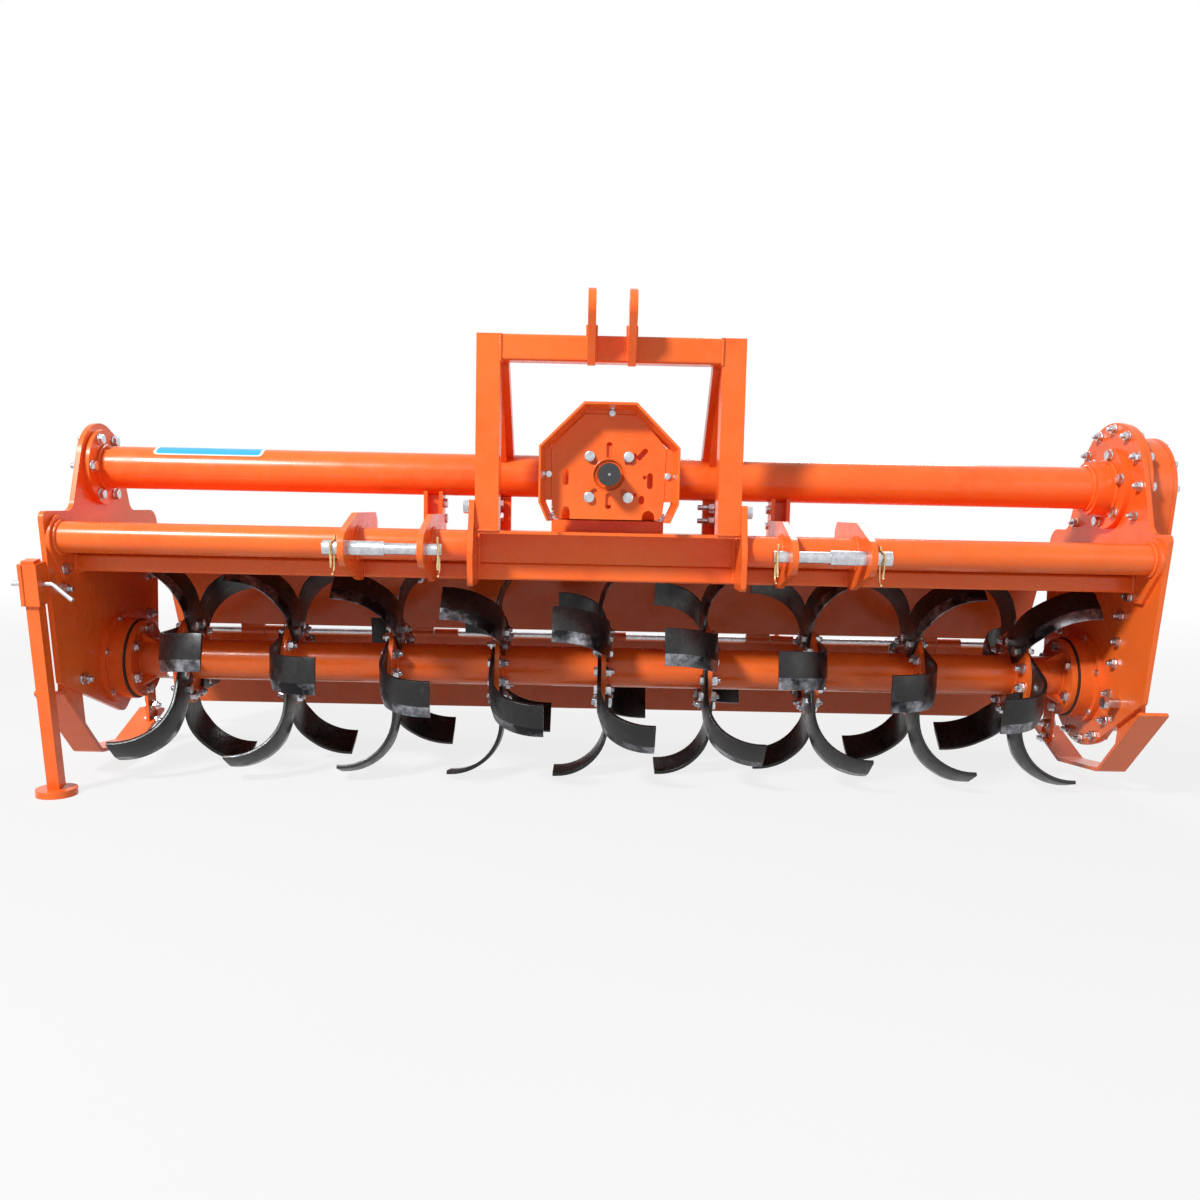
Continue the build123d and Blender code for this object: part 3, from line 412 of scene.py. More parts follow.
# ---- pieces
class Piece:
    """One object of the scene, gathered from parts with a finish each."""

    def __init__(self, *finishes):
        self.finishes = finishes
        self.verts, self.faces, self.slots = [], [], []

    def add(self, part, matrix=Matrix(), finish=None):
        verts, faces = part
        base = len(self.verts)
        self.verts += [matrix @ Vector(v) for v in verts]
        self.faces += [[base + i for i in face] for face in faces]
        self.slots += [self.finishes.index(finish) if finish else 0] * len(faces)

    def build(self, name, body, sharp=35.0, replaced=()):
        """Object on a body, with edges sharp above an angle, in place of the nodes it replaces."""
        mesh = bpy.data.meshes.new(name)
        mesh.from_pydata(self.verts, [], self.faces)
        for finish in self.finishes:
            mesh.materials.append(MAT[finish])
        mesh.polygons.foreach_set("material_index", self.slots)
        mesh.polygons.foreach_set("use_smooth", [True] * len(self.faces))
        cleaned = bmesh.new()
        cleaned.from_mesh(mesh)
        bmesh.ops.remove_doubles(cleaned, verts=cleaned.verts, dist=1e-7)
        bmesh.ops.recalc_face_normals(cleaned, faces=cleaned.faces)
        cleaned.to_mesh(mesh)
        cleaned.free()
        mesh.update()
        mesh.set_sharp_from_angle(angle=radians(sharp))
        obj = bpy.data.objects.new(name, mesh)
        bpy.context.scene.collection.objects.link(obj)
        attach(obj, body)
        if replaced:
            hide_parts(*replaced)


# For each thread size: width across flats, head height, washer radius and washer thickness.
THREADS = {
    6: (10, 4.0, 6.5, 1.4),
    8: (13, 5.3, 8.5, 1.6),
    10: (17, 6.4, 10.5, 2.0),
    12: (19, 7.5, 12.0, 2.5),
    16: (24, 10.0, 15.0, 3.0),
}


def bolt(piece, point, direction, size=12, with_washer=True):
    """Bolt's head, turned at random, on its washer."""
    across, head, disc_r, disc_t = THREADS[size]
    spot, spin = Vector(point), random.uniform(0, pi / 3)
    if with_washer:
        piece.add(washer(disc_r, disc_t), place(spot, direction))
        spot = spot + Vector(direction).normalized() * disc_t * MM
    piece.add(hex_head(across, head), place(spot, direction, spin))


def nut(piece, point, direction, size=12, stub=9.0):
    """Nut on its washer, with a stub of the bolt's thread."""
    across, _, disc_r, disc_t = THREADS[size]
    along = Vector(direction).normalized()
    spot, spin = Vector(point), random.uniform(0, pi / 3)
    piece.add(washer(disc_r, disc_t), place(spot, direction))
    spot = spot + along * disc_t * MM
    piece.add(hex_head(across, 0.85 * size), place(spot, direction, spin))
    spot = spot + along * 0.84 * size * MM
    piece.add(thread(size / 2, stub), place(spot, direction))


def bead(piece, points, radius, closed=False, step=1.4):
    """Weld bead: a rippled cord of uneven thickness along points in metres."""
    ripple = 3.6
    points = [Vector(p) for p in points]
    if closed:
        points.append(points[0])
    line, radii, travelled = [], [], 0.0
    for a, b in zip(points, points[1:]):
        length = (b - a).length / MM
        count = max(1, int(length / step))
        for i in range(count):
            wave = 0.5 + 0.5 * cos(2 * pi * travelled / ripple)
            swell = 1 + 0.10 * sin(travelled / 11.0) + random.uniform(-0.05, 0.05)
            line.append(a.lerp(b, i / count))
            radii.append(radius * MM * swell * (0.86 + 0.14 * wave))
            travelled += length / count
    piece.add(sweep(line, radii, 7, closed))


# ---- anchors read from the frame
ROTOR_Z = centre_of("rotor_shaft", Z)
ROTOR_END_X = side_of("shaft_seals", X, HIGH) - 4.5
ROTOR_FACE_X = ROTOR_END_X - 12  # inner face of the rotor's end flanges
TUBE_Y, TUBE_Z = centre_of("axle_tube_left", Y), centre_of("axle_tube_left", Z)
PLATE_X = side_of("side_plate_right", X, LOW)  # inner face of the side plates
PLATE_OUT_X = side_of("side_plate_right", X, HIGH)
CASE_FLANGE_X = PLATE_OUT_X + 10
COVER_FACE_X = side_of("gear_case_cover", X, HIGH) - 8
GEARBOX_X, GEARBOX_TOP_Z = side_of("gearbox", X, HIGH), side_of("gearbox", Z, HIGH)
FOOT_X, FOOT_TOP_Z = side_of("gearbox_foot", X, HIGH), side_of("gearbox_foot", Z, HIGH)
FOOT_FRONT, FOOT_BACK = side_of("gearbox_foot", Y, LOW), side_of("gearbox_foot", Y, HIGH)
DECK_Z = side_of("gearbox_foot", Z, LOW)
FRONT_Y, FRONT_Z = centre_of("front_tube", Y), centre_of("front_tube", Z)
FRONT_R = (side_of("front_tube", Z, HIGH) - side_of("front_tube", Z, LOW)) / 2
DOUBLER_X = side_of("front_tube", X, HIGH)
BAR_Y = side_of("front_bar", Y, LOW)
BAR_LOW, BAR_HIGH = side_of("front_bar", Z, LOW), side_of("front_bar", Z, HIGH)
EAR_IN, EAR_OUT = side_of("mast_ear_right", X, LOW), side_of("mast_ear_right", X, HIGH)
WEB_TOP = side_of("centre_channel", Z, HIGH)
SHAFT_Z = centre_of("input_shaft", Z)
GUARD_Y, GUARD_LOW = side_of("guard_plate", Y, LOW), side_of("guard_rim", Z, LOW)
RIM_W, RIM_TOP = side_of("guard_rim", X, HIGH), side_of("guard_rim", Z, HIGH)
RIM_FRONT, RIM_BACK = side_of("guard_rim", Y, LOW), side_of("guard_rim", Y, HIGH)
PIN_Y, PIN_Z = centre_of("hitch_pin_right", Y), centre_of("hitch_pin_right", Z)
PIN_IN, PIN_OUT = side_of("hitch_pin_right", X, LOW), side_of("hitch_pin_right", X, HIGH)
LUG_IN, LUG_OUT = side_of("hitch_lugs_right", X, LOW), side_of("hitch_lugs_right", X, HIGH)
SUPPORT_Y = side_of("tube_supports", Y, LOW)

# ---- sizes of the solids
TUBE_R = ROTOR_TUBE_R = 44.45
FLANGE_T = 12  # flanges at the ends of the axle tubes, and the bearings' housings
POST_W = 46
LUG_T = 12
LINK_T = 8.0
SUPPORT_IN = 347.0  # inner face of the outer tube supports
SOCKET_LEAN = 0.158  # how far the stand's socket comes forward for each millimetre up
SOCKET_DROP = 7.5  # from its highest corner down to the top of its front face
TINE_FLANGES, PITCH, FLANGE_HALF = 9, 230.0, 5.0
TINES_PER_FLANGE, TINE_T = 6, 8.0
TIP_ANGLE, HELIX = 12.0, -10.5  # of the first tine, and from one flange to the next

# Radii of the bolt circles.
TINE_BOLTS_R, ROTOR_END_BOLTS_R, HOUSING_BOLTS_R = 80, 68, 94.5
AXLE_BOLTS_RIGHT_R, AXLE_BOLTS_LEFT_R, GEARBOX_BOLTS_R = 72.5, 66, 61
CASE_HEAD_BOLTS_R, CASE_FOOT_BOLTS_R = 126, 138
COVER_HEAD_BOLTS_R, COVER_FOOT_BOLTS_R = 100, 111
SIXTHS = range(0, 360, 60)


# ---- tines
TINE_REACH, TINE_FLAT = 121.0, 7.0  # across the bent tip, and its straight end
TIP_R, TINE_HALF_W = 245.0, 39.0
BEVEL_W, EDGE_LEFT = 24.0, 2.2  # width of the ground bevel, and the thickness that it leaves
BEVEL_LEVEL, BEVEL_SIDE = 4, 9  # first section and first side of the outline that are ground
LEADING = ((-39, 172), (-23, 115), (-3, 40))  # y and z of the blade's edges
TRAILING = ((39, 202), (53, 120), (71, 44))


def tine_line():
    """Mid-line of a tine along its root, bend and tip: x, height and direction."""
    start = TINE_T / 2
    height = (TIP_R**2 - TINE_HALF_W**2) ** 0.5 - start
    bend = TINE_REACH - TINE_FLAT - start
    stations = [(start, z, (0, 1)) for z in (45.5, 60, 76, 92, 110)]
    for i in range(15):
        angle = pi / 2 * i / 14
        x, z = start + bend * (1 - cos(angle)), height - bend + bend * sin(angle)
        stations.append((x, z, (sin(angle), cos(angle))))
    stations.append((TINE_REACH, height, (1, 0)))
    return stations


def arc_y(points, z):
    """Place of the blade's edge at a height, on the curve through three points."""
    (y0, z0), (y1, z1), (y2, z2) = points
    if z >= z0:
        return y0
    t = (z - z0) / (z2 - z0)
    u = (z1 - z0) / (z2 - z0)
    line = y0 + (y2 - y0) * t
    sag = (y1 - (y0 + (y2 - y0) * u)) / (u * (1 - u))
    return line + sag * t * (1 - t)


def tine_mesh():
    """Blade with a rounded back and a ground leading edge, and which of its faces are ground."""
    h = TINE_T / 2
    sections, ground = [], [False]
    for x, z, (dx, dz) in tine_line():
        lead, trail = arc_y(LEADING, z), arc_y(TRAILING, z)
        share = min(1.0, max(0.0, (z - 95) / 60))  # of the bevel's full width
        edge = h - (TINE_T - EDGE_LEFT) * share
        ridge = lead + max(BEVEL_W * share, 1.2)
        mid = lead + max(BEVEL_W * share * 0.45, 0.6)
        outline = [
            (lead, -h + 0.5), (lead + 0.5, -h), (trail - 1.4, -h), (trail - 0.4, -h + 0.4),
            (trail, -h + 1.4), (trail, h - 1.4), (trail - 0.4, h - 0.4), (trail - 1.4, h),
            (ridge + 1.5, h), (ridge, h - 0.15), (mid, (h + edge) / 2 - 0.5 * share),
            (lead + 0.6, edge), (lead, edge - 0.6),
        ]
        out = Vector((-dz, 0, dx))  # from the mid-line to the outer, convex face
        sections.append([tuple(Vector((x, y, z)) + out * d) for y, d in outline])
    for level in range(len(sections) - 1):
        ground += [level >= BEVEL_LEVEL and i >= BEVEL_SIDE for i in range(len(sections[0]))]
    return stack(sections), ground + [False]


def tine_angle(flange, tine):
    return TIP_ANGLE + HELIX * flange + 60 * tine


def flange_x(flange):
    """Middle of one of the rotor's flanges."""
    return (flange - (TINE_FLANGES - 1) / 2) * PITCH


def make_tines():
    """Tines in turn on the left and the right face of each flange."""
    (verts, faces), ground = tine_mesh()
    mirrored = ([(-x, y, z) for x, y, z in verts], [face[::-1] for face in faces])
    for name, first, side, part in (("right", 0, -1, (verts, faces)), ("left", 1, 1, mirrored)):
        piece = Piece("tine", "ground")
        for i in range(TINE_FLANGES):
            root = at(flange_x(i) + side * (FLANGE_HALF + TINE_T), 0, ROTOR_Z)
            for k in range(first, TINES_PER_FLANGE, 2):
                turn = Matrix.Rotation(radians(90 - tine_angle(i, k)), 4, "X")
                piece.add(part, Matrix.Translation(root) @ turn @ Matrix.Scale(MM, 4))
                piece.slots[-len(ground):] = [int(flag) for flag in ground]
        piece.build(f"tine_blades_{name}", "rotor", 28.0, (f"tines_{name}",))


def make_tine_bolts():
    """Two bolts through each tine's root and its flange, and those of the rotor's end flanges."""
    piece = Piece("zinc")
    for i in range(TINE_FLANGES):
        for k in range(TINES_PER_FLANGE):
            side = -1 if k % 2 == 0 else 1  # face of the flange that carries the tine
            head_x = flange_x(i) + side * (FLANGE_HALF + TINE_T)
            tail_x = flange_x(i) - side * FLANGE_HALF
            for turn in (2, 32):
                angle = tine_angle(i, k) + turn
                head = around_x(head_x, 0, ROTOR_Z, TINE_BOLTS_R, angle)
                tail = around_x(tail_x, 0, ROTOR_Z, TINE_BOLTS_R, angle)
                bolt(piece, head, outward(side), 12, False)
                nut(piece, tail, inward(side), 12, 7)
    for side in SIDES:
        for angle in SIXTHS:
            spot = around_x(side * ROTOR_FACE_X, 0, ROTOR_Z, ROTOR_END_BOLTS_R, 30 + angle)
            bolt(piece, spot, inward(side), 12)
    piece.build("rotor_bolts", "rotor")


def make_rotor_welds():
    """Seams on both sides of each flange, and the gussets of the end flanges."""
    piece = Piece("paint")
    seam_r = ROTOR_TUBE_R + 1.5
    for i in range(TINE_FLANGES):
        for side in SIDES:
            x = flange_x(i) + side * (FLANGE_HALF + 2)
            bead(piece, circle_x(x, 0, ROTOR_Z, seam_r), 3.6, True, 2.0)
    for side in SIDES:
        face = side * ROTOR_FACE_X
        bead(piece, circle_x(face - side * 2, 0, ROTOR_Z, seam_r), 3.6, True, 2.0)
        for angle in (-58, 62, 182):
            rib(piece, face, side, angle)
    piece.build("rotor_welds", "rotor")


def rib(piece, face, side, angle):
    """Small triangular gusset between the rotor's tube and its end flange."""
    foot_r, tip_r, half_t, turn = ROTOR_TUBE_R - 1, 66.0, 2.5, radians(angle)
    outline = ((face, foot_r), (face, tip_r), (face - side * 4, tip_r), (face - side * 34, foot_r))
    rings = [
        [(x, -r * cos(turn) + t * sin(turn), r * sin(turn) + t * cos(turn)) for x, r in outline]
        for t in (-half_t, half_t)
    ]
    piece.add(stack(rings), machine_at(0, 0, ROTOR_Z))


# ---- fasteners of the frame
def case_outline(x):
    """Bolt places along the side gear case, from the front of its head round its foot."""
    front = ((-184, 444), (-155, 400), (-150, 344), (-141, 297), (-125, 230))
    back = ((120, 338), (100, 406), (82, 500), (74, 590))
    places = [around_x(x, TUBE_Y, TUBE_Z, CASE_HEAD_BOLTS_R, -27 + 28.5 * k) for k in range(7)]
    places += [at(x, y, z) for y, z in front]
    places += [around_x(x, 0, ROTOR_Z, CASE_FOOT_BOLTS_R, -33 - 26 * k) for k in range(6)]
    places += [at(x, y, z) for y, z in back]
    return places


def make_plate_bolts():
    """Bolts of the gear case, axle tubes, side plates, bearings and the skids' links."""
    piece = Piece("zinc")
    for inner, outer in zip(case_outline(PLATE_X), case_outline(CASE_FLANGE_X)):
        nut(piece, inner, LEFT, 10, 8)
        bolt(piece, outer, RIGHT, 10)
    flange_face = PLATE_X - FLANGE_T
    for angle in (75, 15, -45, -105, -165, 135):
        bolt(piece, around_x(flange_face, TUBE_Y, TUBE_Z, AXLE_BOLTS_RIGHT_R, angle), LEFT, 12)
    for angle in (0, 60, 120, 180, -60, -120):
        bolt(piece, around_x(-flange_face, TUBE_Y, TUBE_Z, AXLE_BOLTS_LEFT_R, angle), RIGHT, 12)
        nut(piece, around_x(-PLATE_OUT_X, TUBE_Y, TUBE_Z, AXLE_BOLTS_LEFT_R, angle), LEFT, 12)
    bolt(piece, at(8 - PLATE_X, -250, 459), RIGHT, 12)
    nut(piece, at(-PLATE_OUT_X, -250, 459), LEFT, 12)
    for y, z in ((-246, 419), (-173, 226), (150, 420), (150, 330)):
        nut(piece, at(-PLATE_X, y, z), RIGHT, 12)
        bolt(piece, at(-PLATE_OUT_X, y, z), LEFT, 12)
    bolt(piece, at(PLATE_X - 8, -198, 444), LEFT, 12)
    bolt(piece, at(PLATE_X - 26, -167, 217), LEFT, 16, False)
    piece.add(lathe([(11, 0), (11, 26)]), place(at(PLATE_X, -167, 217), LEFT))
    for side in SIDES:
        for angle in SIXTHS:
            spot = around_x(side * flange_face, 0, ROTOR_Z, HOUSING_BOLTS_R, 15 + angle)
            bolt(piece, spot, inward(side), 6)
        link_x = side * (PLATE_OUT_X + LINK_T)
        for y, z in ((184, 101), (188, 63)):
            nut(piece, at(side * PLATE_OUT_X, y, z), inward(side), 12, 9)
            bolt(piece, at(link_x, y, z), outward(side), 12)
        for y, z in ((-214, 205), (-182, 188)):
            bolt(piece, at(link_x, y, z), outward(side), 12)
    piece.build("plate_fasteners", "frame")


def make_gear_case_fasteners():
    """Bolts round the gear case's cover, and its plug."""
    piece = Piece("zinc")
    x, head_r, foot_r = COVER_FACE_X, COVER_HEAD_BOLTS_R, COVER_FOOT_BOLTS_R
    cover = [around_x(x, TUBE_Y, TUBE_Z, head_r, -30 + 30 * k) for k in range(7)]
    cover += [around_x(x, 0, ROTOR_Z, foot_r, 162 + 30 * k) for k in range(7)]
    for t in (0.28, 0.5, 0.72):
        for side in SIDES:
            y = TUBE_Y - TUBE_Y * t + side * (head_r + (foot_r - head_r) * t)
            cover.append(at(x, y, TUBE_Z + (ROTOR_Z - TUBE_Z) * t))
    for spot in cover:
        bolt(piece, spot, RIGHT, 8)
    bolt(piece, at(x, -58, 470), RIGHT, 12, False)
    piece.build("gear_case_fasteners", "frame")


# ---- guard of the drive shaft
# Slots and small holes: x and z from the shaft, width, height and lean.
GUARD_SLOTS = (
    (0, 48, 11, 31, 0), (0, -50, 11, 32, 0), (-84, -5, 11, 32, 0), (80, -10, 11, 31, 0),
    (69.5, -3, 7, 7.5, 0), (64, -47, 11, 16, 0), (51, -37, 6, 6.5, 0), (64, 41, 10, 27, -42),
    (-34, 31, 11, 29, 45), (42, 31, 11, 29, -45), (-34, -38, 11, 29, -45), (34, -38, 11, 29, 45),
)
GUARD_BORE_R = 28.5


def make_guard():
    """Pierced plate with its folds and the seals behind it, and the folded rim round it."""
    slots = [slot_loop(x, SHAFT_Z + z, w, h, lean) for x, z, w, h, lean in GUARD_SLOTS]
    bore = [(x, SHAFT_Z + z) for x, z in circle(GUARD_BORE_R, 48)]
    rise = RIM_TOP - SHAFT_Z
    w, tab = RIM_W - 3, rise - 4
    outline = [
        (-47, tab), (54, tab), (56, 116), (111, 53), (w, 51), (w, -50), (108, -50), (105, -76),
        (96, -86), (90, -86), (90, -78), (86.5, -71), (78, -67), (69.5, -71), (66, -78), (66, -86),
        (-75, -86), (-75, -70), (-78, -64), (-82.5, -62), (-87, -64), (-90, -70), (-90, -86),
        (-98, -86), (-106, -76), (-110, -50), (-w, -50), (-w, 51), (-113, 53), (-50, 116),
    ]
    outline = [(x, SHAFT_Z + z) for x, z in outline]
    plate = Piece("paint")
    plate.add(pierced_plate(outline, [bore, *slots], GUARD_Y, GUARD_Y + 6), MACHINE)
    for x0, z0, x1, z1 in ((-49, 116, 55, 116), (-111, 50, -109, -49), (109, 50, 107, -49)):
        fold = [at(x, GUARD_Y + 0.4, SHAFT_Z + z) for x, z in ((x0, z0), (x1, z1))]
        plate.add(sweep(fold, 1.6 * MM))
    for radius, wire, y in ((25.5, 2.4, GUARD_Y + 5), (31.0, 1.3, GUARD_Y + 0.2)):
        loop = [at(x, y, SHAFT_Z + z) for x, z in circle(radius, 48)]
        plate.add(sweep(loop, wire * MM, 8, True))
    plate.build("guard_face", "frame", 35.0, ("guard_plate",))

    # Corners of the rim: x and z from the shaft, and how far the wall's flare and thickness
    # go inward and down there.
    corners = [
        (118, GUARD_LOW - SHAFT_Z, 0.8, 0.0), (134, -54, 0.8, 0.0), (134, 52, 0.8, 0.42),
        (50, rise, 0.45, 1.0),
    ]
    # Corners of the wall's section: flare, thickness and y.
    section = ((0, 0, RIM_FRONT), (0, 5, RIM_FRONT), (8, 5, RIM_BACK), (8, 0, RIM_BACK))
    rings = []
    for side in SIDES:
        for x, z, across, down in (corners if side < 0 else corners[::-1]):
            rings.append([
                (side * (x - flare - t * across), y, SHAFT_Z + z - (flare + t) * down)
                for flare, t, y in section
            ])
    rim = Piece("paint")
    rim.add(stack(rings), MACHINE)
    rim.build("guard_shell", "frame", 25.0, ("guard_rim",))


def make_guard_bolts():
    """Bolts round the shaft, of the plate's tabs and of the rim, and the nuts of the foot."""
    piece = Piece("zinc")
    for x in (-38, 38):
        for z in (36, -43):
            bolt(piece, at(x, GUARD_Y, SHAFT_Z + z), FRONTWARD, 10)
    for x in (17 - RIM_W, RIM_W - 20):
        bolt(piece, at(x, GUARD_Y, SHAFT_Z), FRONTWARD, 6)
    bolt(piece, at(4, GUARD_Y, RIM_TOP - 17), FRONTWARD, 6)
    for side in SIDES:
        bolt(piece, at(side * (RIM_W - 5), GUARD_Y - 12, SHAFT_Z), inward(side), 6)
    bolt(piece, at(4, GUARD_Y - 12, RIM_TOP - 5), DOWNWARD, 6)
    for side in SIDES:
        nut(piece, at(side * 96, FOOT_FRONT - 36, FOOT_TOP_Z + 12), outward(side), 10, 6)
    piece.build("guard_bolts", "frame")


def make_cap_centre():
    """Bright centre mark in the middle of the shaft's cap."""
    piece = Piece("steel")
    face = at(0, side_of("shaft_cap", Y, LOW), centre_of("shaft_cap", Z))
    mark = lathe([(2.6, -0.5), (2.6, 0.1), (1.6, 0.25), (0.5, 0.05)], 16)
    piece.add(mark, place(face, FRONTWARD))
    piece.build("cap_centre", "input")


# ---- supports, deck and gearbox
def make_cheeks():
    """Plates across the tube supports, and the inner halves of the mast's braces."""
    piece = Piece("paint")
    under, over = TUBE_Z - TUBE_R, TUBE_Z + TUBE_R
    front, plate_t = SUPPORT_Y - 30, 8
    cheek = [
        (SUPPORT_Y, DECK_Z), (front, DECK_Z), (front, under + 8), (SUPPORT_Y - 18, under + 2),
        (SUPPORT_Y, under - 1),
    ]
    back, high = side_of("mast_post_right", Y, HIGH), side_of("mast_brace_right", Z, HIGH)
    brace = [(back, high), (back, high - 44), (TUBE_Y - 22, over - 6), (TUBE_Y + 10, over)]
    for side in SIDES:
        for x in (229, SUPPORT_IN, SUPPORT_IN + 32):
            piece.add(prism_x(cheek, side * x, side * (x + plate_t)), MACHINE)
        piece.add(prism_x(brace, side * 200, side * 214), MACHINE)
    piece.build("support_cheeks", "frame")


def make_deck_bolts():
    """Bolts of the tube supports, mast ears, rod brackets, gearbox and its lid."""
    piece = Piece("zinc")
    for side in SIDES:
        for z in (606, 578):
            if side < 0:
                bolt(piece, at(-229, SUPPORT_Y - 15, z), RIGHT, 12)
            else:
                nut(piece, at(229, SUPPORT_Y - 15, z), LEFT, 12, 24)
        for z in (604, 572):
            bolt(piece, at(side * SUPPORT_IN, SUPPORT_Y - 12, z), inward(side), 10)
        bolt(piece, at(side * EAR_OUT, FRONT_Y, 598), outward(side), 16)
        for y in (233, 262):
            slope_nut(piece, side * 455, y)
    for side in SIDES:
        for y in (FOOT_FRONT + 20, FOOT_BACK - 20):
            bolt(piece, at(side * (FOOT_X - 9), y, FOOT_TOP_Z), UPWARD, 12)
        face = side * (GEARBOX_X + 14)
        for angle in SIXTHS:
            spot = around_x(face, TUBE_Y, TUBE_Z, GEARBOX_BOLTS_R, 30 + angle)
            bolt(piece, spot, outward(side), 12)
    for x, y in ((-70, -160), (70, -160), (-70, 10), (70, 10), (0, -160), (0, 10)):
        bolt(piece, at(x, y, GEARBOX_TOP_Z + 6), UPWARD, 10)
    piece.build("deck_fasteners", "frame")


def slope_nut(piece, x, y):
    """Nut inside the hood, on its rear slope, from the spring rods' brackets."""
    top, knee, edge = (118.0, DECK_Z - 5), (255.0, ROTOR_Z + 187.0), (325.5, 286.5)
    (y0, z0), (y1, z1) = (knee, edge) if y > knee[0] else (top, knee)
    run = hypot(y1 - y0, z1 - z0)
    z = z0 + (z1 - z0) * (y - y0) / (y1 - y0)
    nut(piece, at(x, y, z), (0, (z1 - z0) / run, -(y1 - y0) / run), 10, 8)


def make_gearbox_cover():
    """Raised lid of the gearbox with a filler plug and a breather."""
    piece = Piece("paint", "zinc")
    corner_r, lid_z = 12, GEARBOX_TOP_Z + 6
    front, back, half_w = -172, 22, 84
    rings = []
    for grow, z in ((0, GEARBOX_TOP_Z - 2), (0, GEARBOX_TOP_Z + 4.5), (-1.5, lid_z)):
        points, r = [], corner_r + grow
        for cx, cy in ((-1, -1), (1, -1), (1, 1), (-1, 1)):
            x, y = cx * half_w, (front if cy < 0 else back)
            for angle in range(0, 91, 15):
                turn = radians(angle if cx * cy > 0 else 90 - angle)
                px = x - cx * corner_r + cx * r * cos(turn)
                py = y - cy * corner_r + cy * r * sin(turn)
                points.append((px, py, z))
        rings.append(points)
    piece.add(stack(rings), MACHINE)
    piece.add(lathe([(17, 0), (17, 7), (15.5, 8.5)]), place(at(30, -70, lid_z), UPWARD))
    piece.add(hex_head(24, 12), place(at(30, -70, lid_z + 8), UPWARD), "zinc")
    breather = lathe([(6, 0), (6, 6), (9, 8), (9, 16), (7, 19)])
    piece.add(breather, place(at(-35, -70, lid_z), UPWARD), "zinc")
    piece.build("gearbox_lid", "frame")


# ---- welds of the frame
TOP_LUG_X, TOP_LUG_HALF = 38.5, 8.5  # middle of the top link's lugs, and out to their seams


def make_frame_welds():
    """Seams of the ears, front tube, bar, lugs, axle tubes, mast and the stand's socket."""
    piece = Piece("paint")
    front_seam_r, tube_seam_r = FRONT_R + 1.5, TUBE_R + 1.5
    for side in SIDES:
        x = side * (EAR_IN - 1.5)
        bead(piece, [at(x, BAR_Y - 1.5, z) for z in (BAR_LOW + 3, WEB_TOP - 8)], 4.2)
        bead(piece, circle_x(side * (EAR_OUT + 1.5), FRONT_Y, FRONT_Z, front_seam_r), 3.6, True)
        x = side * (DOUBLER_X - 2)
        bead(piece, circle_x(x, FRONT_Y, FRONT_Z, front_seam_r), 4.2, True)
        corner = ((BAR_Y - 1, BAR_LOW + 2), (BAR_Y - 1, BAR_HIGH - 2), (BAR_Y + 30, BAR_HIGH + 1))
        bead(piece, [at(x, y, z) for y, z in corner], 4.0)
        bead(piece, [at(x, y, BAR_LOW - 1) for y in (BAR_Y + 2, BAR_Y + 32)], 4.0)
        for face, gap in (
            (LUG_IN, -1.2), (LUG_IN + LUG_T, 1.2), (LUG_OUT - LUG_T, -1.2), (LUG_OUT, 1.2),
        ):
            x = side * (face + gap)
            bead(piece, circle_x(x, FRONT_Y, FRONT_Z, FRONT_R + 1.2, -70, 118, 24), 3.4)
            bead(piece, [at(x, y, DECK_Z + 1) for y in (-225, -96)], 3.4, False, 2.2)
            bead(piece, [at(x, BAR_Y - 1, z) for z in (BAR_LOW + 2, BAR_HIGH - 3)], 3.2)
        foot = [at(side * x, -286, WEB_TOP + 1) for x in (EAR_IN - POST_W, EAR_IN)]
        bead(piece, foot, 3.2)
    bead(piece, circle_x(PLATE_X - 14, TUBE_Y, TUBE_Z, 58.5), 3.6, True)
    bead(piece, circle_x(PLATE_X - 53.5, TUBE_Y, TUBE_Z, tube_seam_r), 4.4, True)
    bead(piece, circle_x(14 - PLATE_X, TUBE_Y, TUBE_Z, tube_seam_r), 4.2, True)
    low, high = side_of("mast_crossbar", Z, LOW), side_of("mast_crossbar", Z, HIGH)
    front, back = side_of("mast_crossbar", Y, LOW), side_of("mast_crossbar", Y, HIGH)
    for side in SIDES:
        x = side * (GEARBOX_X + 15.5)
        bead(piece, circle_x(x, TUBE_Y, TUBE_Z, tube_seam_r), 4.0, True, 2.0)
        x = side * (EAR_IN - POST_W)
        corner = ((front - 0.5, high), (front - 0.5, low - 0.5), (back, low - 0.5))
        bead(piece, [at(x, y, z) for y, z in corner], 3.4)
        for lug_side in SIDES:
            x = side * TOP_LUG_X + lug_side * TOP_LUG_HALF
            bead(piece, [at(x, front - 1, z) for z in (low + 2, high + 20)], 3.4)
    x, front = side_of("stand_socket", X, LOW) + 7, side_of("stand_socket", Y, LOW)
    low, high = side_of("stand_socket", Z, LOW), side_of("stand_socket", Z, HIGH) - SOCKET_DROP
    foot = front + SOCKET_LEAN * (high - low)
    bead(piece, [at(x, front - 0.6, high - 1), at(x, foot - 0.6, low + 2)], 2.2)
    piece.build("frame_welds", "frame")


# ---- clips, springs and label
def linch_clip(piece, x, sign):
    """Sprung wire clip through the end of a lower link pin, with its ring hanging down."""
    piece.add(sweep([at(x, PIN_Y, PIN_Z + rise) for rise in (24, 0, -20)], 2.6 * MM, 10))
    wire = [at(x, PIN_Y, PIN_Z + 17), at(x + sign * 5, PIN_Y - 19, PIN_Z + 8)]
    for i in range(25):
        angle = radians(200 - 300 * i / 24)
        y, z = PIN_Y - 4 + 17 * cos(angle) * 0.8, PIN_Z - 30 + 20 * sin(angle)
        wire.append(at(x + sign * 3, y, z))
    piece.add(sweep(wire, 2.1 * MM))


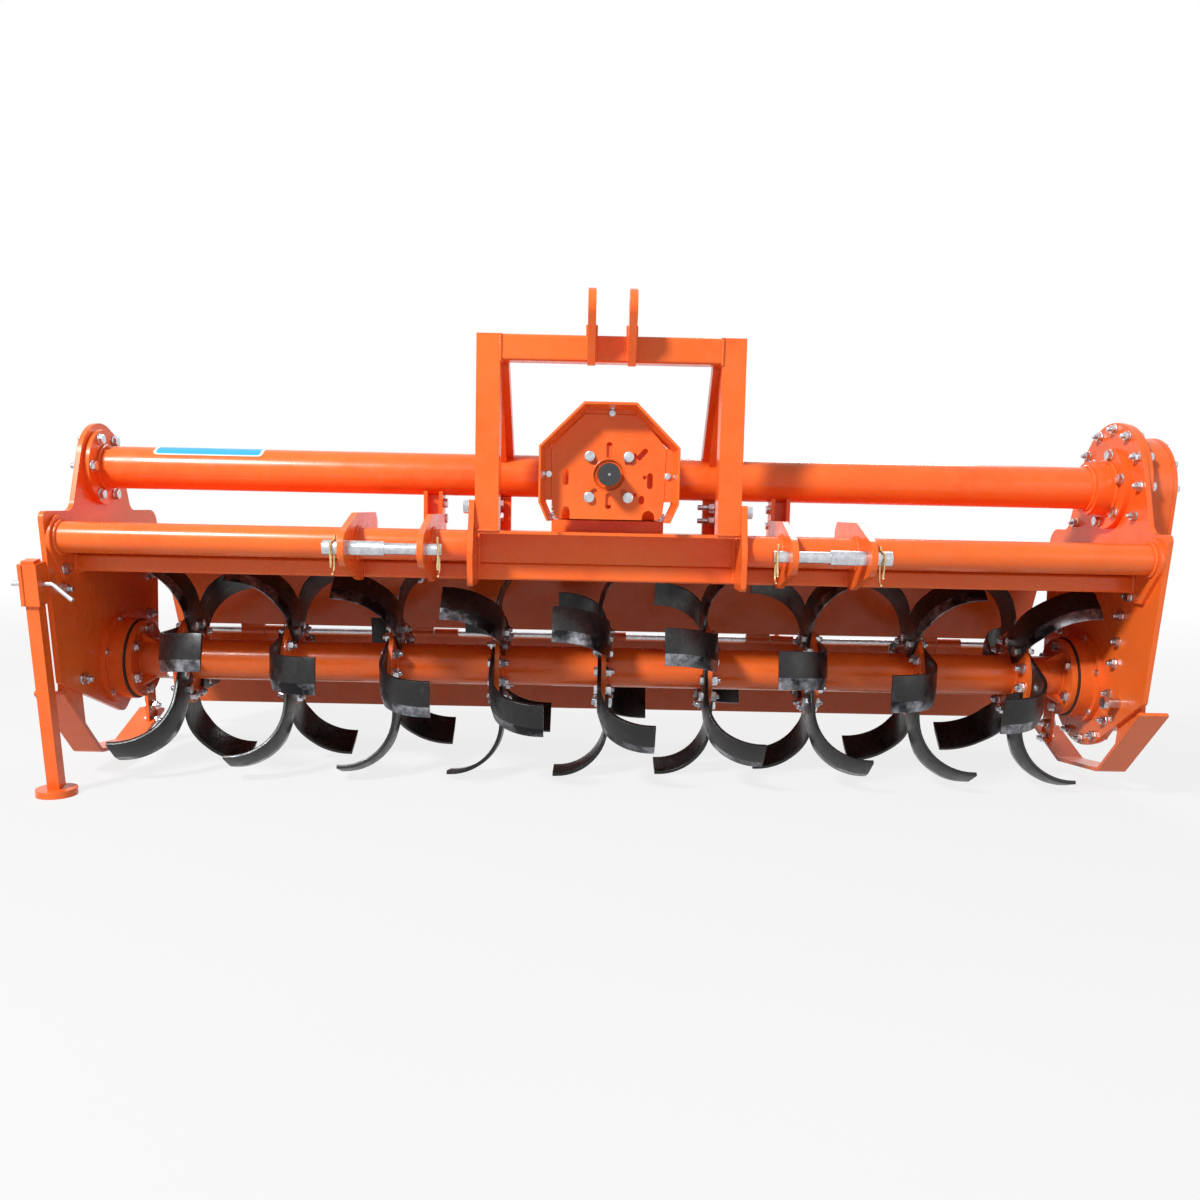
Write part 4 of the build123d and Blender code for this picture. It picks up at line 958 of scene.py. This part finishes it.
def make_clips():
    """Clips at both ends of the hitch pins, and the ring of the stand's lock pin."""
    piece = Piece("yellow")
    for side in SIDES:
        for x, sign in ((PIN_IN + 9, -side), (PIN_OUT - 22, side)):
            linch_clip(piece, side * x, sign)
    x = side_of("stand_lock_pin", X, LOW) + 8
    y, z = centre_of("stand_socket", Y), centre_of("stand_socket", Z) - 4
    loop = [at(x + rise / 3, y + along, z + rise) for along, rise in circle(9, 24)]
    piece.add(sweep(loop, 0.9 * MM, 6, True))
    piece.build("pin_clips", "frame")


def make_springs():
    """Round wire springs in place of the plain sleeves on the two rods."""
    piece = Piece("steel")
    low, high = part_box("rod_springs")
    half_span = (high.x - low.x) / 2 / MM - 16
    eye_y, eye_z = 400, 185  # the rods' lower eyes
    start, length, turns, coil_r, wire_r = 130, 66.0, 9, 12.6, 2.4
    axis = (at(0, 335, 430) - at(0, eye_y, eye_z)).normalized()
    across = Vector(RIGHT)
    third = axis.cross(across)
    steps = turns * 22
    for side in SIDES:
        origin = at(centre_of("rod_springs", X) + side * half_span, eye_y, eye_z)
        line = []
        for i in range(steps + 1):
            t = i / steps
            angle = 2 * pi * turns * t
            rise = start + length * min(1.0, max(0.0, (t - 0.04) / 0.92))  # with flat end coils
            spoke = across * cos(angle) + third * sin(angle)
            line.append(origin + axis * rise * MM + spoke * coil_r * MM)
        piece.add(sweep(line, wire_r * MM))
    piece.build("rod_coils", "spring_rods", 60.0, ("rod_springs",))


# Layers of the sticker: name, finish, its ends, its angles round the tube, the heights of its
# face and underside over the tube, and its corners' radius.
LABEL = (
    ("label_border", "label_white", -957, -727, 39, 150, 0.30, -0.2, 10),
    ("label_field", "label_cyan", -951, -733, 43, 146, 0.55, 0.15, 7),
)


def make_label():
    """Blank sticker wrapped over the left part of the axle tube."""
    rows, quarter = 24, range(0, 91, 15)
    for name, finish, x0, x1, a0, a1, over, under, corner in LABEL:
        columns = [x0 + corner * (1 - cos(radians(a))) for a in quarter]
        columns += [x0 + corner + (x1 - x0 - 2 * corner) * i / 8 for i in range(1, 8)]
        columns += [x1 - corner * (1 - cos(radians(90 - a))) for a in quarter]
        last, layer = len(columns) - 1, len(columns) * (rows + 1)
        verts, faces = [], []
        for radius in (TUBE_R + over, TUBE_R + under):
            for x in columns:
                d = min(x - x0, x1 - x)
                cut = corner - (corner**2 - (corner - d) ** 2) ** 0.5 if d < corner else 0.0
                trim = cut / (TUBE_R + over) * 180 / pi
                for j in range(rows + 1):
                    angle = a0 + trim + (a1 - a0 - 2 * trim) * j / rows
                    verts.append(around_x(x, TUBE_Y, TUBE_Z, radius, angle))
        for i in range(last):
            for j in range(rows):
                a = i * (rows + 1) + j
                face = [a, a + 1, a + rows + 2, a + rows + 1]
                faces += [face, [layer + v for v in face[::-1]]]
        rim = [*range(rows), *(i * (rows + 1) + rows for i in range(last))]
        rim += [last * (rows + 1) + rows - j for j in range(rows)]
        rim += [(last - i) * (rows + 1) for i in range(last)]
        faces += [[b, a, a + layer, b + layer] for a, b in zip(rim, rim[1:] + rim[:1])]
        piece = Piece(finish)
        piece.add((verts, faces))
        piece.build(name, "frame")


# This order sets the order of the random draws.
make_tines()
make_tine_bolts()
make_rotor_welds()
make_plate_bolts()
make_gear_case_fasteners()
make_guard()
make_cheeks()
make_cap_centre()
make_guard_bolts()
make_deck_bolts()
make_gearbox_cover()
make_frame_welds()
make_clips()
make_springs()
make_label()


# ---- stage, light and camera
WHITE = (1, 1, 1, 1)
WORLD_FILL = 0.26  # strength of the white world on the object
FLOOR_GLOW = 0.82  # share of plain white in the floor, as the camera sees it
FLOOR_HALF, FADE_START, FADE_END = 7.0, 1.6, 6.0  # metres


def soft_box(name, spot, aim, size, power):
    """Round area light aimed at a point."""
    light = bpy.data.lights.new(name, "AREA")
    light.shape = "DISK"
    light.size = size
    light.energy = power
    obj = bpy.data.objects.new(name, light)
    obj.location = spot
    obj.rotation_euler = (Vector(aim) - Vector(spot)).to_track_quat("-Z", "Y").to_euler()
    bpy.context.scene.collection.objects.link(obj)


def backdrop_rays(nodes, links, scale, base):
    """base for rays that light the object, base + scale for those that only see the backdrop."""
    path = nodes.new("ShaderNodeLightPath")
    total = path.outputs["Is Camera Ray"]
    for other in ("Is Glossy Ray", "Is Transmission Ray"):
        either = nodes.new("ShaderNodeMath")
        either.operation = "MAXIMUM"
        links.new(total, either.inputs[0])
        links.new(path.outputs[other], either.inputs[1])
        total = either.outputs["Value"]
    result = nodes.new("ShaderNodeMath")
    result.operation = "MULTIPLY_ADD"
    links.new(total, result.inputs[0])
    result.inputs[1].default_value = scale
    result.inputs[2].default_value = base
    return result.outputs["Value"]


def make_world():
    world = bpy.data.worlds.new("studio")
    world.use_nodes = True
    bpy.context.scene.world = world
    nodes, links = world.node_tree.nodes, world.node_tree.links
    background = nodes["Background"]
    background.inputs["Color"].default_value = WHITE
    strength = backdrop_rays(nodes, links, 1.0 - WORLD_FILL, WORLD_FILL)
    links.new(strength, background.inputs["Strength"])


def make_floor():
    """Pale floor that keeps the shadow and fades into the white backdrop further out."""
    mesh = bpy.data.meshes.new("floor")
    corners = [(x * FLOOR_HALF, y * FLOOR_HALF, 0) for x, y in ((-1, -1), (1, -1), (1, 1), (-1, 1))]
    mesh.from_pydata(corners, [], [(0, 1, 2, 3)])
    floor = bpy.data.objects.new("floor", mesh)
    bpy.context.scene.collection.objects.link(floor)
    shade = Shade("floor_white")
    shade.put("Base Color", grey(0.5))
    shade.put("Roughness", 0.9)
    shade.put("Specular IOR Level", 0.0)
    nodes, links = shade.nodes, shade.links
    glow = nodes.new("ShaderNodeEmission")
    glow.inputs["Color"].default_value = WHITE
    distance = nodes.new("ShaderNodeVectorMath")
    distance.operation = "LENGTH"
    links.new(nodes.new("ShaderNodeTexCoord").outputs["Object"], distance.inputs[0])
    fade = nodes.new("ShaderNodeMapRange")
    fade.interpolation_type = "SMOOTHSTEP"
    fade.inputs["From Min"].default_value = FADE_START
    fade.inputs["From Max"].default_value = FADE_END
    links.new(distance.outputs["Value"], fade.inputs["Value"])
    clear = nodes.new("ShaderNodeBsdfTransparent")
    surface = shade.shader.outputs["BSDF"]
    for factor, other in (
        (backdrop_rays(nodes, links, FLOOR_GLOW, 0.0), glow.outputs["Emission"]),
        (fade.outputs["Result"], clear.outputs["BSDF"]),
    ):
        both = nodes.new("ShaderNodeMixShader")
        links.new(factor, both.inputs["Fac"])
        links.new(surface, both.inputs[1])
        links.new(other, both.inputs[2])
        surface = both.outputs["Shader"]
    links.new(surface, nodes["Material Output"].inputs["Surface"])
    mesh.materials.append(shade.mat)


def make_camera():
    """In front of the mast and a little to its left, above the hood, looking slightly down."""
    yaw, pitch, roll = radians(0.4399), radians(5.2397), radians(1.2287)
    ahead = Vector((sin(yaw) * cos(pitch), cos(yaw) * cos(pitch), -sin(pitch)))
    level = Vector((cos(yaw), -sin(yaw), 0))
    above = level.cross(ahead)
    right = level * cos(roll) + above * sin(roll)
    up = above * cos(roll) - level * sin(roll)
    camera = bpy.data.cameras.new("camera")
    camera.sensor_width = 36.0
    camera.lens = 31.01
    obj = bpy.data.objects.new("camera", camera)
    turn = Matrix((right, up, -ahead)).transposed().to_4x4()
    obj.matrix_world = Matrix.Translation(at(-27.7, -2298.2, 606.7)) @ turn
    bpy.context.scene.collection.objects.link(obj)
    bpy.context.scene.camera = obj


make_world()
make_floor()
make_camera()
soft_box("key", (-2.6, -3.4, 3.8), (0, -0.1, 0.4), 0.8, 330)
soft_box("fill", (3.2, -3.0, 1.4), (0, 0, 0.4), 2.4, 18)
soft_box("rear", (1.5, 4.0, 3.4), (0, 0, 0.4), 2.0, 110)
bpy.context.scene.view_settings.view_transform = "Standard"
